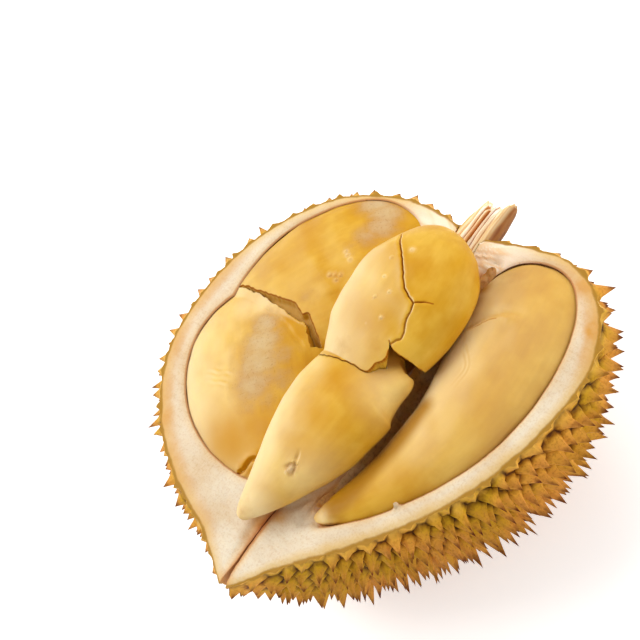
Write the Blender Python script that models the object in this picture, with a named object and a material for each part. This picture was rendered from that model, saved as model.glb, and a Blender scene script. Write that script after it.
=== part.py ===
"""One opened half of a durian, lying on its thorns with the cut side up.

The half is a thorny husk with a split at its tip, the five fleshy arils that lie in it,
and the stub of the stem. +Z is up, +X runs from the tip to the stem, and the origin is
on the surface that the half rests on, under its middle. Lengths are in metres.
"""
import math
import random

import bmesh
import bpy
import numpy as np
from mathutils import Matrix, Vector

MM = 0.001

# Husk: driving dimensions
RIM_HEIGHT = 95 * MM        # level of the cut face
GIRTH_HEIGHT = 82 * MM      # level where the husk is widest
SKIN_FLOOR = 6.5 * MM       # lowest point of the skin between the thorns
ROUNDING_ANGLE = 40         # the underside's plan is the rim's, averaged over this many degrees
KEEL_FADE = 3               # how fast the pointed plan rounds off below the rim
THORN_COUNT = 1250          # thorns on a whole durian, of which a half keeps about half
THORN_HEIGHT = 9.5 * MM
RIM_THORN_SHARE = 0.72      # thorns beside the rim are shorter by this factor
RIM_THORN_FADE = 4          # how soon below the rim the thorns reach full size
END_THORN_SHARE = 0.3       # and those at the tip and around the stem by this one
END_THORN_REACH = 110 * MM  # distance from either end at which thorns are full size
THORN_SPREAD = 0.18         # thorns differ in height by this share of it
THORN_JITTER = 0.022        # how far a thorn strays from an even spacing, on a unit sphere
FIT_GAP = 0.4 * MM          # clearance between pieces that touch
LOCULE_GAP = 1.2 * MM       # clearance between an aril and the chamber it grew in

# Plan of the cut rim, from the tip along the near side to the stem and back, in mm
RIM_PLAN = (
    (-105, -15), (-83, -34), (-51, -62), (-14, -85), (27, -96), (61, -95), (84, -81), (95, -59),
    (92, -32), (86, -10), (89, 18), (84, 45), (68, 70), (37, 89), (3, 95), (-32, 89), (-60, 68),
    (-79, 39), (-90, 10),
)

# Split that runs in from the tip between the two valves
SPLIT_START = Vector((-0.112, -0.0185, 0))
SPLIT_END = Vector((-0.062, -0.0125, 0))
SPLIT_MOUTH = 4.5 * MM
SPLIT_CLOSE = 0.8 * MM
SPLIT_FLOOR = 50 * MM       # how far down it reaches at the tip
SPLIT_SHALLOW = 12 * MM     # and how deep it still is at its inner end
CUTTER_OVERHANG = 20 * MM   # how far a cutter stands proud of the face that it cuts

# Stem stub
STEM_ROOT = Vector((0.075, -0.008, 0.0885))
STEM_LENGTH = 32 * MM
STEM_ROOT_RADIUS = 10.5 * MM
STEM_END_RADIUS = 8.0 * MM
STEM_CUT_HEIGHT = 97 * MM   # the stem was split along this level with the fruit
STEM_SIDES = 16

SHARP_ANGLE = math.radians(35)
ARIL_AROUND = 20            # facets around an aril and along it
ARIL_ALONG = 16
ARIL_END_POWER = 0.8        # below 1 the ends of an aril are blunter than an ellipsoid's

# Arils: five stations along each, as x, y, z of the spine, then half width, rise and sink, in mm
ARIL_STATIONS = {
    "centre_upper_aril": (
        (-6, -4, 106, 24, 12, 12), (14, -10, 107, 29, 16, 16), (37, -12, 108, 30, 18, 18),
        (58, -9, 109, 30, 18, 18), (78, -2, 108, 22, 14, 14),
    ),
    "centre_lower_aril": (
        (18, -27, 103, 27, 12, 12), (-2, -16, 104, 28, 15, 15), (-29, -14, 104, 23, 15, 15),
        (-55, -11, 103, 15, 11, 11), (-77, -7, 102, 9, 6, 5),
    ),
    "left_aril": (
        (18, 76, 89, 22, 8, 20), (2, 61, 89, 36, 11, 36), (-18, 39, 90, 38, 13, 40),
        (-38, 18, 90, 34, 12, 36), (-57, -2, 91, 22, 8, 20),
    ),
    "back_aril": (
        (-14, 73, 90, 26, 6, 20), (16, 54, 91, 36, 10, 32), (40, 39, 91, 37, 12, 36),
        (61, 26, 91, 34, 11, 32), (78, 8, 90, 20, 6, 16),
    ),
    "right_aril": (
        (-59, -33, 94, 9, 5, 8), (-30, -49, 91, 15, 9, 18), (9, -60, 90, 22, 13, 32),
        (51, -57, 90, 30, 14, 38), (89, -46, 91, 37, 12, 24),
    ),
}

# The open groove between the central arils and the right one, from the stem to the tip
GROOVE_STATIONS = (
    (82, -27, 97, 6, 6, 5), (50, -33, 95, 10, 10, 16), (12, -38, 94, 11, 12, 24),
    (-26, -39, 95, 10, 10, 15), (-66, -25, 98, 7, 6, 5),
)

COLOURS = {
    "husk": (0.62, 0.36, 0.06),
    "aril": (0.80, 0.52, 0.11),
    "stem": (0.55, 0.31, 0.11),
}


def clear_scene():
    for thing in list(bpy.data.objects):
        bpy.data.objects.remove(thing, do_unlink=True)


def make_material(name, colour, roughness):
    material = bpy.data.materials.new(name)
    material.use_nodes = True
    shader = material.node_tree.nodes["Principled BSDF"]
    shader.inputs["Base Color"].default_value = (*colour, 1.0)
    shader.inputs["Roughness"].default_value = roughness
    shader.inputs["Metallic"].default_value = 0.0
    return material


def make_collection(name):
    collection = bpy.data.collections.new(name)
    bpy.context.scene.collection.children.link(collection)
    return collection


def add_object(name, bm, collection, material=None, smooth=False):
    mesh = bpy.data.meshes.new(name)
    bm.to_mesh(mesh)
    bm.free()
    if smooth:
        mesh.shade_smooth()
        mesh.set_sharp_from_angle(angle=SHARP_ANGLE)
    thing = bpy.data.objects.new(name, mesh)
    collection.objects.link(thing)
    if material:
        mesh.materials.append(material)
    return thing


def as_cutter(thing):
    thing.hide_render = True
    thing.display_type = "WIRE"
    return thing


def cut(thing, cutter):
    modifier = thing.modifiers.new("cut_" + cutter.name, "BOOLEAN")
    modifier.operation = "DIFFERENCE"
    modifier.object = cutter
    modifier.solver = "EXACT"


def smooth_loop(points):
    """Points along the closed Catmull-Rom curve through the given points."""
    steps = 10
    loop = []
    count = len(points)
    for i in range(count):
        a, b, c, d = (Vector(points[(i + k - 1) % count]) for k in range(4))
        for step in range(steps):
            t = step / steps
            loop.append(0.5 * (2 * b + (c - a) * t + (2 * a - 5 * b + 4 * c - d) * t * t
                               + (3 * b - a - 3 * c + d) * t ** 3))
    return loop


def plan_tables():
    """The rim's distance from the middle at each degree, and the underside's rounder one."""
    loop = smooth_loop(RIM_PLAN)
    angles = np.array([math.degrees(math.atan2(p.y, p.x)) for p in loop])
    reaches = np.array([p.length * MM for p in loop])
    order = np.argsort(angles)
    degrees = np.arange(360)
    rim = np.interp(degrees, angles[order], reaches[order], period=360)
    turns = range(-ROUNDING_ANGLE, ROUNDING_ANGLE + 1)
    rounded = np.mean([np.roll(rim, turn) for turn in turns], axis=0)
    return rim, np.minimum(rim, rounded)


def skin_point(direction, plans):
    """Map a direction on the unit sphere to the skin of the husk, between the thorns."""
    depth = GIRTH_HEIGHT - SKIN_FLOOR
    height = GIRTH_HEIGHT + direction.z * depth
    angle = math.degrees(math.atan2(direction.y, direction.x))
    rim, rounded = (np.interp(angle, np.arange(360), plan, period=360) for plan in plans)
    share = 1 - min(max((RIM_HEIGHT - height) / (RIM_HEIGHT - SKIN_FLOOR), 0), 1)
    rim_flat = math.sqrt(1 - ((RIM_HEIGHT - GIRTH_HEIGHT) / depth) ** 2)
    radius = (rounded + (rim - rounded) * share ** KEEL_FADE) / rim_flat
    return Vector((direction.x * radius, direction.y * radius, height))


def skin_normal(direction):
    """The way out of the skin, taken on a bowl as deep as the husk."""
    tallness = (GIRTH_HEIGHT - SKIN_FLOOR) / RIM_HEIGHT
    return Vector((direction.x * tallness, direction.y * tallness, direction.z)).normalized()


def thorn_directions():
    """Evenly spread directions for the thorns, each strayed a little."""
    stray = random.Random(11)
    turn = math.pi * (3 - math.sqrt(5))
    directions = []
    for i in range(THORN_COUNT):
        height = 1 - 2 * (i + 0.5) / THORN_COUNT
        ring = math.sqrt(1 - height * height)
        spot = Vector((ring * math.cos(turn * i), ring * math.sin(turn * i), height))
        spot += Vector([stray.uniform(-THORN_JITTER, THORN_JITTER) for _ in range(3)])
        directions.append(spot.normalized())
    return directions


def keep_below(bm, height):
    trim(bm, height, Vector((0, 0, 1)))


def keep_above(bm, height):
    trim(bm, height, Vector((0, 0, -1)))


def trim(bm, height, outward):
    """Cut the mesh flat at a height, drop what lies outward of it and close the cuts."""
    bmesh.ops.bisect_plane(bm, geom=bm.verts[:] + bm.edges[:] + bm.faces[:], dist=1e-7,
                           plane_co=(0, 0, height), plane_no=outward, clear_outer=True)
    open_edges = [edge for edge in bm.edges if edge.is_boundary]
    bmesh.ops.holes_fill(bm, edges=open_edges, sides=0)
    bmesh.ops.recalc_face_normals(bm, faces=bm.faces)


def make_husk(collection, material):
    """The thorny bowl: thorn roots from a convex hull of the thorn spots, tips lifted out."""
    plans = plan_tables()
    tip = Vector((*RIM_PLAN[0], RIM_HEIGHT / MM)) * MM
    heights = random.Random(5)
    bm = bmesh.new()
    for spot in thorn_directions():
        bm.verts.new(spot)
    bmesh.ops.convex_hull(bm, input=bm.verts[:])
    split = bmesh.ops.subdivide_edges(bm, edges=bm.edges[:], cuts=1, use_grid_fill=True)
    valleys = {item for item in split["geom_inner"] if isinstance(item, bmesh.types.BMVert)}
    for vert in bm.verts:
        direction = vert.co.normalized()
        vert.co = skin_point(direction, plans)
        if vert not in valleys:
            share = heights.uniform(1 - THORN_SPREAD, 1 + THORN_SPREAD)
            share *= 1 - (1 - RIM_THORN_SHARE) * (1 - abs(direction.z)) ** RIM_THORN_FADE
            end_distance = min((vert.co - tip).length, (vert.co - STEM_ROOT).length)
            share *= END_THORN_SHARE + (1 - END_THORN_SHARE) * min(end_distance / END_THORN_REACH, 1)
            vert.co += skin_normal(direction) * THORN_HEIGHT * share
    keep_below(bm, RIM_HEIGHT)
    keep_above(bm, 0)
    return add_object("husk", bm, collection, material)


def make_split(collection):
    """A thin wedge that stands in the split between the valves."""
    bm = bmesh.new()
    bmesh.ops.create_cube(bm, size=1)
    run = SPLIT_END - SPLIT_START
    side = Vector((-run.y, run.x, 0)).normalized()
    for vert in bm.verts:
        along = vert.co.x + 0.5
        width = SPLIT_MOUTH + (SPLIT_CLOSE - SPLIT_MOUTH) * along
        spot = SPLIT_START + run * along + side * vert.co.y * width
        floor = SPLIT_FLOOR + (RIM_HEIGHT - SPLIT_SHALLOW - SPLIT_FLOOR) * along
        spot.z = RIM_HEIGHT + CUTTER_OVERHANG if vert.co.z > 0 else floor
        vert.co = spot
    bmesh.ops.recalc_face_normals(bm, faces=bm.faces)
    return as_cutter(add_object("split_cutter", bm, collection))


def between(values, t):
    """Smooth Catmull-Rom value at t, from 0 to 1, of vectors at even stations."""
    last = len(values) - 1
    i = min(int(t * last), last - 1)
    u = t * last - i
    b, c = values[i], values[i + 1]
    a = values[i - 1] if i > 0 else 2 * b - c
    d = values[i + 2] if i + 2 <= last else 2 * c - b
    return 0.5 * (2 * b + (c - a) * u + (2 * a - 5 * b + 4 * c - d) * u * u
                  + (3 * b - a - 3 * c + d) * u ** 3)


def fleshy_mesh(stations, grow):
    """A fleshy body along a spine: a sphere whose rings take the spine's places and sizes."""
    spine = [np.array(row[:3], float) * MM for row in stations]
    sizes = [np.array(row[3:], float) * MM for row in stations]
    bm = bmesh.new()
    bmesh.ops.create_uvsphere(bm, u_segments=ARIL_AROUND, v_segments=ARIL_ALONG, radius=1)
    for vert in bm.verts:
        t = (1 + vert.co.z) / 2
        centre = Vector(between(spine, t))
        ahead = Vector(between(spine, min(t + 0.01, 1))) - Vector(between(spine, max(t - 0.01, 0)))
        ahead.normalize()
        side = Vector((0, 0, 1)).cross(ahead).normalized()
        up = ahead.cross(side)
        half_width, rise, sink = between(sizes, t)
        tall = rise if vert.co.y > 0 else sink
        ring = math.hypot(vert.co.x, vert.co.y)
        blunt = ring ** (ARIL_END_POWER - 1) if ring > 1e-6 else 1
        reach = side * vert.co.x * (half_width + grow) + up * vert.co.y * (tall + grow)
        reach *= blunt
        vert.co = centre + reach + ahead * vert.co.z * grow
    return bm


def make_aril(name, collection, material):
    return add_object(name, fleshy_mesh(ARIL_STATIONS[name], 0), collection, material, smooth=True)


def make_room(name, stations, gap, collection):
    """A cutter that leaves the given gap around a fleshy body."""
    return as_cutter(add_object(f"{name}_room", fleshy_mesh(stations, gap), collection))


def stem_mesh(grow):
    """A tapered stub along +X whose upper side was split away."""
    bm = bmesh.new()
    bmesh.ops.create_cone(bm, segments=STEM_SIDES, radius1=STEM_ROOT_RADIUS + grow,
                          radius2=STEM_END_RADIUS + grow, depth=STEM_LENGTH + 2 * grow, cap_ends=True)
    bmesh.ops.rotate(bm, verts=bm.verts, matrix=Matrix.Rotation(math.pi / 2, 3, "Y"))
    bmesh.ops.translate(bm, verts=bm.verts, vec=STEM_ROOT + Vector((STEM_LENGTH / 2, 0, 0)))
    keep_below(bm, STEM_CUT_HEIGHT + grow)
    return bm


def main():
    clear_scene()
    parts = make_collection("durian_half")
    cutters = make_collection("cutters")
    rind = make_material("thorny_rind", COLOURS["husk"], 0.6)
    flesh = make_material("aril_flesh", COLOURS["aril"], 0.45)
    bark = make_material("stem_bark", COLOURS["stem"], 0.8)

    husk = make_husk(parts, rind)
    cut(husk, make_split(cutters))
    arils = {name: make_aril(name, parts, flesh) for name in ARIL_STATIONS}
    add_object("stem", stem_mesh(0), parts, bark, smooth=True)
    cut(husk, as_cutter(add_object("stem_room", stem_mesh(FIT_GAP), cutters)))

    for name, stations in ARIL_STATIONS.items():
        cut(husk, make_room(f"{name}_locule", stations, LOCULE_GAP, cutters))
    cut(husk, make_room("groove", GROOVE_STATIONS, 0, cutters))
    pressed_by = {
        "centre_lower_aril": ("centre_upper_aril",),
        "left_aril": ("centre_upper_aril", "centre_lower_aril"),
        "back_aril": ("centre_upper_aril", "centre_lower_aril", "left_aril"),
        "right_aril": ("centre_upper_aril", "centre_lower_aril"),
    }
    rooms = {
        name: make_room(f"{name}_fit", ARIL_STATIONS[name], FIT_GAP, cutters)
        for name in ("centre_upper_aril", "centre_lower_aril", "left_aril")
    }
    for name, neighbours in pressed_by.items():
        for neighbour in neighbours:
            cut(arils[name], rooms[neighbour])


main()
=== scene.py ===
# %% [markdown]
# # One opened half of a durian
# This lesson builds the half of a durian that is left when the fruit is split along its
# seams: a thorny rind with pale pith inside, five soft arils lying in their chambers, and
# the stub of the stem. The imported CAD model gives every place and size. This script gives
# the skin: it replaces each plain CAD solid with a finely shaped mesh and a material.

# %% Load the frame
import math
import random

import bmesh
import bpy
import numpy as np
from mathutils import Matrix, Vector, noise
from mathutils.bvhtree import BVHTree
from mathutils.kdtree import KDTree


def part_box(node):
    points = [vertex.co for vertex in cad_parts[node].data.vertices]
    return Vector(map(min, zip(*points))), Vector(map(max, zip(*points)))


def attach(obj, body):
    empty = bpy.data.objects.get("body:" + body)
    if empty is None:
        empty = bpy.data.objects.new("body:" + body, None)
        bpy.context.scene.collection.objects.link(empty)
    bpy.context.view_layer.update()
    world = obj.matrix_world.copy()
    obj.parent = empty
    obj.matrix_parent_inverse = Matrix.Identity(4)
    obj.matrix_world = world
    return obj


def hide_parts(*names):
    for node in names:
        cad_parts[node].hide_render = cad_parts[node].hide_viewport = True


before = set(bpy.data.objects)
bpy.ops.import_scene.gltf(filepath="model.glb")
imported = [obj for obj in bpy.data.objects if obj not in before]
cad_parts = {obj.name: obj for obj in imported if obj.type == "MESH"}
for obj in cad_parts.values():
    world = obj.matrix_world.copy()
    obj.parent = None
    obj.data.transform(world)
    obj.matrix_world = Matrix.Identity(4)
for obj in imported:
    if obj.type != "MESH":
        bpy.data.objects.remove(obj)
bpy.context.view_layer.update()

MM = 0.001
rim_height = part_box("husk")[1].z
print("the cut face is", round(rim_height / MM, 1), "mm above the table")

# %% [markdown]
# ## Camera and lamps
# They come first, because every later choice is judged by how it looks in them. The half
# lies level, so the camera looks down at 52 degrees and is turned about its own axis, which
# puts the pointed tip at the lower left. A long lens keeps the near thorns from looking large.

# %% Camera
AZIMUTH = math.radians(-16.44)
ELEVATION = math.radians(52)
ROLL = math.radians(39)
DISTANCE = 0.727
TARGET = Vector((0.017, 0.029, 0.095))

level = math.cos(ELEVATION)
back = Vector((math.sin(AZIMUTH) * level, -math.cos(AZIMUTH) * level, math.sin(ELEVATION)))
right = Vector((math.cos(AZIMUTH), math.sin(AZIMUTH), 0))
up = back.cross(right)
rolled_right = math.cos(ROLL) * right - math.sin(ROLL) * up
rolled_up = math.sin(ROLL) * right + math.cos(ROLL) * up

camera = bpy.data.objects.new("camera", bpy.data.cameras.new("camera"))
bpy.context.scene.collection.objects.link(camera)
camera.data.lens = 90
camera.data.sensor_width = 36
camera.matrix_world = Matrix((rolled_right, rolled_up, back)).transposed().to_4x4()
camera.matrix_world.translation = TARGET + back * DISTANCE
bpy.context.scene.camera = camera
print("camera at", [round(value, 3) for value in camera.matrix_world.translation])

# %% [markdown]
# One large soft lamp hangs above the half on the left, as a softbox does in a studio: the wider
# a lamp, the softer the edge of its shadow. A second one, low on the other side, opens the
# shadows between the thorns, a small one at the back lights the far rim, and a white room all
# round keeps the rest pale. The Standard view shows each colour as it is set.

# %% Lamps and surroundings
ROOM_BRIGHTNESS = 0.54


def soft_lamp(name, place, aim, size, power, colour):
    """A square area lamp that faces a point."""
    data = bpy.data.lights.new(name, "AREA")
    data.shape = "SQUARE"
    data.size = size
    data.energy = power
    data.color = colour
    lamp = bpy.data.objects.new(name, data)
    bpy.context.scene.collection.objects.link(lamp)
    lamp.location = place
    lamp.rotation_euler = (Vector(aim) - Vector(place)).to_track_quat("-Z", "Y").to_euler()


soft_lamp("side_softbox", place=(-0.34, 0.55, 0.98), aim=(0, 0, 0.06), size=0.75, power=7.8,
          colour=(1.0, 0.99, 0.96))
soft_lamp("low_fill", place=(0.95, -0.85, 0.32), aim=(0, 0, 0.04), size=0.9, power=7.9,
          colour=(1.0, 0.98, 0.95))
soft_lamp("back_softbox", place=(0.50, 0.30, 0.70), aim=(0.05, 0, 0.09), size=0.5, power=2.2,
          colour=(1.0, 0.98, 0.95))

world = bpy.data.worlds.new("pale_room")
world.use_nodes = True
world.node_tree.nodes["Background"].inputs["Color"].default_value = (1.0, 1.0, 1.0, 1.0)
world.node_tree.nodes["Background"].inputs["Strength"].default_value = ROOM_BRIGHTNESS
bpy.context.scene.world = world
bpy.context.scene.view_settings.view_transform = "Standard"

# %% [markdown]
# ## Helpers for materials
# Colours are written as sRGB hex values, as a colour picker shows them, and one function
# turns them to the linear values that the renderer works in. One more function adds any
# node: it takes a dictionary of settings, and a setting that is another node's socket
# becomes a link.

# %% Material helpers
COVER = {"data_type": "RGBA"}                             # a Mix node that lays B over A
TINT = {"data_type": "RGBA", "blend_type": "MULTIPLY"}    # a Mix node that tints A with B


def hex_colour(code):
    """An sRGB hex colour as linear red, green, blue and alpha."""
    shares = [int(code[i:i + 2], 16) / 255 for i in (1, 3, 5)]
    linear = [v / 12.92 if v <= 0.04045 else ((v + 0.055) / 1.055) ** 2.4 for v in shares]
    return (*linear, 1.0)


def add_node(material, kind, settings, output=None):
    """Add a node and return one of its outputs, or the node itself.

    A setting is a property, a ramp's stops, or an input by its name or number. Its value is a
    number, a hex colour, or another node's output, which is then linked.
    """
    tree = material.node_tree
    node = tree.nodes.new(kind)
    for key, value in settings.items():
        if isinstance(value, str) and value.startswith("#"):
            value = hex_colour(value)
        if key == "stops":
            ramp = node.color_ramp
            while len(ramp.elements) < len(value):
                ramp.elements.new(0.5)
            for element, (position, colour) in zip(ramp.elements, value):
                element.position = position
                element.color = hex_colour(colour) if isinstance(colour, str) else (*[colour] * 3, 1)
        elif not isinstance(key, int) and hasattr(node, key):
            setattr(node, key, value)
        else:
            same = [s for i, s in enumerate(node.inputs) if key in (i, s.name) and s.enabled]
            if isinstance(value, bpy.types.NodeSocket):
                tree.links.new(value, same[0])
            else:
                same[0].default_value = value
    return next((s for s in node.outputs if s.enabled and s.name == output), node)


def new_material(name, viewport_colour):
    """A material with an empty node tree."""
    material = bpy.data.materials.new(name)
    material.use_nodes = True
    material.diffuse_color = hex_colour(viewport_colour)
    material.node_tree.nodes.clear()
    return material


print("pith white as linear values:", [round(v, 3) for v in hex_colour("#f3e0c0")])

# %% [markdown]
# ## The skin of the husk
# A durian's skin is a bowl whose plan is the heart-like outline of the cut rim. A thorn
# could be modelled once and scattered, but then thorns would overlap or leave bare skin.
# On the fruit they share the whole skin out between them, so here the skin itself is divided
# among the thorns: evenly spread spots are wrapped in a convex hull, and each hull triangle
# joins three neighbouring thorns.

# %% Outline of the rim and the map from a direction to the skin
GIRTH_HEIGHT = 82 * MM      # where the skin is widest, between the thorns
SKIN_FLOOR = 6.5 * MM       # the lowest skin, under its thorns
ROUNDING_ANGLE = 40         # below the rim the plan is averaged over this many degrees each way
KEEL_FADE = 3               # how fast the plan grows rounder on the way down
JUST_SHORT = 0.99999        # keeps the last share inside the last stretch between stations
RIM_PLAN = (                # the outline of the cut rim from above, in mm
    (-105, -15), (-83, -34), (-51, -62), (-14, -85), (27, -96), (61, -95), (84, -81), (95, -59),
    (92, -32), (86, -10), (89, 18), (84, 45), (68, 70), (37, 89), (3, 95), (-32, 89), (-60, 68),
    (-79, 39), (-90, 10),
)
DEGREES = np.arange(360)


def between(values, shares):
    """Smooth values at shares from 0 to 1 along evenly spaced stations."""
    values = np.asarray(values, float)
    shares = np.atleast_1d(shares)
    last = len(values) - 1
    first = np.clip((shares * last).astype(int), 0, last - 1)
    u = (shares * last - first)[:, None]
    padded = np.vstack((2 * values[0] - values[1], values, 2 * values[-1] - values[-2]))
    a, b, c, d = (padded[first + k] for k in range(4))
    return 0.5 * (2 * b + (c - a) * u + (2 * a - 5 * b + 4 * c - d) * u * u
                  + (3 * b - a - 3 * c + d) * u ** 3)


wrapped = RIM_PLAN[-1:] + RIM_PLAN + RIM_PLAN[:1]
rim_shares = np.linspace(1, 1 + len(RIM_PLAN), 400) / (len(wrapped) - 1)
rim_loop = between(wrapped, rim_shares * JUST_SHORT)
rim_angles = np.degrees(np.arctan2(rim_loop[:, 1], rim_loop[:, 0]))
order = np.argsort(rim_angles)
rim_sizes = np.hypot(rim_loop[:, 0], rim_loop[:, 1])[order] * MM
rim_reach = np.interp(DEGREES, rim_angles[order], rim_sizes, period=360)
turned = [np.roll(rim_reach, turn) for turn in range(-ROUNDING_ANGLE, ROUNDING_ANGLE + 1)]
rounded_reach = np.minimum(rim_reach, np.mean(turned, axis=0))


def skin_points(directions):
    """The places on the skin, between the thorns, in the given directions."""
    depth = GIRTH_HEIGHT - SKIN_FLOOR
    height = GIRTH_HEIGHT + directions[:, 2] * depth
    angles = np.degrees(np.arctan2(directions[:, 1], directions[:, 0]))
    rim = np.interp(angles, DEGREES, rim_reach, period=360)
    rounded = np.interp(angles, DEGREES, rounded_reach, period=360)
    share = 1 - np.clip((rim_height - height) / (rim_height - SKIN_FLOOR), 0, 1)
    rim_flat = math.sqrt(1 - ((rim_height - GIRTH_HEIGHT) / depth) ** 2)
    radius = (rounded + (rim - rounded) * share ** KEEL_FADE) / rim_flat
    return np.column_stack((directions[:, 0] * radius, directions[:, 1] * radius, height))


print("rim from", round(rim_reach.min() / MM), "to", round(rim_reach.max() / MM), "mm from the middle")

# %% [markdown]
# ## Thorns
# Each thorn is a pyramid that fills its share of the skin: its ridges run down to the corners
# where three thorns meet, and its flat faces down to the valleys between two. Splitting each
# hull edge at its middle and poking each face at its centre puts an edge exactly on every
# ridge and every valley, so few faces are needed and the ridges stay crisp. A value of 1 at
# the thorns and 0 elsewhere is carried by the mesh, and the subdivision fills in between.

# %% Thorn spots, and a ball divided into pyramids
THORN_COUNT = 1650      # on a whole ball, of which the half keeps the lower part
THORN_JITTER = 0.019    # how far a thorn strays from its even place, on a ball of radius 1
BALL_TOP = 0.42         # the ball is cut off above this height
THORN_CUTS = 1


def thorn_directions():
    """Evenly spread directions for the thorns, each strayed a little."""
    stray = random.Random(11)
    turn = math.pi * (3 - math.sqrt(5))
    directions = []
    for i in range(THORN_COUNT):
        height = 1 - 2 * (i + 0.5) / THORN_COUNT
        ring = math.sqrt(1 - height * height)
        spot = Vector((ring * math.cos(turn * i), ring * math.sin(turn * i), height))
        spot += Vector([stray.uniform(-THORN_JITTER, THORN_JITTER) for _ in range(3)])
        directions.append(spot.normalized())
    return directions


def divided_ball(spots):
    """A ball below its cut whose points carry how far up a thorn they are."""
    bm = bmesh.new()
    for spot in spots:
        bm.verts.new(spot)
    bmesh.ops.convex_hull(bm, input=bm.verts[:])
    high = [vert for vert in bm.verts if vert.co.z > BALL_TOP]
    bmesh.ops.delete(bm, geom=high, context="VERTS")
    climb = bm.verts.layers.float.new("thorn_climb")
    for vert in bm.verts:
        vert[climb] = 1
    middles = bmesh.ops.bisect_edges(bm, edges=bm.edges[:], cuts=1)["geom_split"]
    centres = bmesh.ops.poke(bm, faces=bm.faces[:])["verts"]
    for vert in centres + [item for item in middles if isinstance(item, bmesh.types.BMVert)]:
        vert[climb] = 0
    bmesh.ops.subdivide_edges(bm, edges=bm.edges[:], cuts=THORN_CUTS, use_grid_fill=True)
    return bm


thorn_spots = thorn_directions()
ball = divided_ball(thorn_spots)
print("thorns:", len(thorn_spots), "on the whole fruit, ball faces:", len(ball.faces))

# %% [markdown]
# The thorns differ a little in height, and they are shorter beside the cut rim, the tip and the
# stem. Their points hook over, each its own way, and those high on the side droop. A power
# above 1 on the climb makes the faces hollow, which is what gives a durian's thorn its sharp
# point on a broad foot. Beside the rim the thorns are hollower still.

# %% Raise the thorns
THORN_HEIGHT = 11.5 * MM
THORN_SPREAD = 0.28             # thorns are up to this share taller or shorter
GIRTH_THORN_SHARE = 0.72        # height of the thorns at the girth, as a share of the rest
GIRTH_THORN_FADE = 4
END_THORN_SHARE = 0.45          # the same at the tip and the stem
END_THORN_REACH = 110 * MM
TOP_THORN_LOSS = 0.7            # what the thorns in the cut lose of their height
THORN_HOLLOW = 1.65
RIM_HOLLOW = 2.3
HOOK = 1.9 * MM
HOOK_SPREAD = 0.5
DROOP = 0.45
DROOP_START = 20 * MM
DROOP_FULL = 70 * MM
STEM_ROOT = Vector((0.075, -0.008, 0.0885))


def fade(value, start, end):
    """A smooth step from 0 at the start to 1 at the end."""
    t = np.clip((value - start) / (end - start), 0, 1)
    return t * t * (3 - 2 * t)


def nearest_index(spots, points):
    """For each point, the number of its nearest spot."""
    tree = KDTree(len(spots))
    for i, spot in enumerate(spots):
        tree.insert(spot, i)
    tree.balance()
    return np.array([tree.find(point)[1] for point in points])


def thorn_sizes(spots):
    """How tall each thorn is, and which way its point leans."""
    tip = Vector((*RIM_PLAN[0], rim_height / MM)) * MM
    heights = random.Random(5)
    leans = random.Random(17)
    roots = skin_points(np.array(spots))
    sizes = []
    hooks = []
    for spot, root in zip(spots, roots):
        share = heights.uniform(1 - THORN_SPREAD, 1 + THORN_SPREAD)
        share *= 1 - (1 - GIRTH_THORN_SHARE) * (1 - abs(spot.z)) ** GIRTH_THORN_FADE
        end_distance = min((Vector(root) - tip).length, (Vector(root) - STEM_ROOT).length)
        share *= END_THORN_SHARE + (1 - END_THORN_SHARE) * min(end_distance / END_THORN_REACH, 1)
        share *= 1 - TOP_THORN_LOSS * float(fade(root[2], rim_height - 5 * MM, rim_height - 1 * MM))
        sizes.append(THORN_HEIGHT * share)
        hooks.append([leans.gauss(0, HOOK_SPREAD) * HOOK * share for _ in range(3)])
    return np.array(sizes), np.array(hooks)


def skin_normals(directions):
    """The way out of the skin, taken on a bowl as deep as the husk."""
    tallness = (GIRTH_HEIGHT - SKIN_FLOOR) / rim_height
    normals = directions * (tallness, tallness, 1)
    return normals / np.linalg.norm(normals, axis=1)[:, None]


def raise_thorns(bm, spots):
    """Wrap the ball onto the skin, then lift its thorns."""
    climb = bm.verts.layers.float["thorn_climb"]
    balls = np.array([vert.co.normalized()[:] for vert in bm.verts])
    climbs = np.array([vert[climb] for vert in bm.verts])
    owners = nearest_index(spots, balls)
    sizes, hooks = thorn_sizes(spots)
    spot_heights = skin_points(np.array(spots))[owners, 2]
    near_rim = fade(spot_heights, rim_height - 7 * MM, rim_height - 1 * MM)
    hollow = THORN_HOLLOW + (RIM_HOLLOW - THORN_HOLLOW) * near_rim
    lifts = sizes[owners] * climbs ** hollow
    ways = skin_normals(balls)
    ways[:, 2] -= DROOP * fade(spot_heights, DROOP_START, DROOP_FULL)
    points = skin_points(balls) + ways * lifts[:, None]
    points += hooks[owners] * (climbs ** 3)[:, None]
    for vert, point in zip(bm.verts, points):
        vert.co = point


raise_thorns(ball, thorn_spots)
print("lowest thorn point:", round(min(vert.co.z for vert in ball.verts) / MM, 2), "mm")

# %% [markdown]
# The lowest thorns are worn flat where the half rests on them. A bisect at table height drops
# what lies below, and filling the openings closes the skin again. The opening at the top is
# far above the cut face, so its fill is cut away later. The materials are made here without
# their nodes, because each cut leaves its own material on the wall that it makes.

# %% Close the skin and stand it on the table
def add_piece(name, bm, materials):
    """Turn a bmesh into a mesh object."""
    mesh = bpy.data.meshes.new(name)
    bm.to_mesh(mesh)
    bm.free()
    for material in materials:
        mesh.materials.append(material)
    piece = bpy.data.objects.new(name, mesh)
    bpy.context.scene.collection.objects.link(piece)
    return piece


rind = new_material("grown_thorny_rind", "#a9781f")
pith = new_material("torn_spongy_pith", "#f0dcb8")
lining = new_material("smooth_chamber_lining", "#d8ad6c")
flesh = new_material("ripe_aril_flesh", "#e6bd60")
stem_fibre = new_material("dried_split_stem", "#b98a52")

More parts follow.
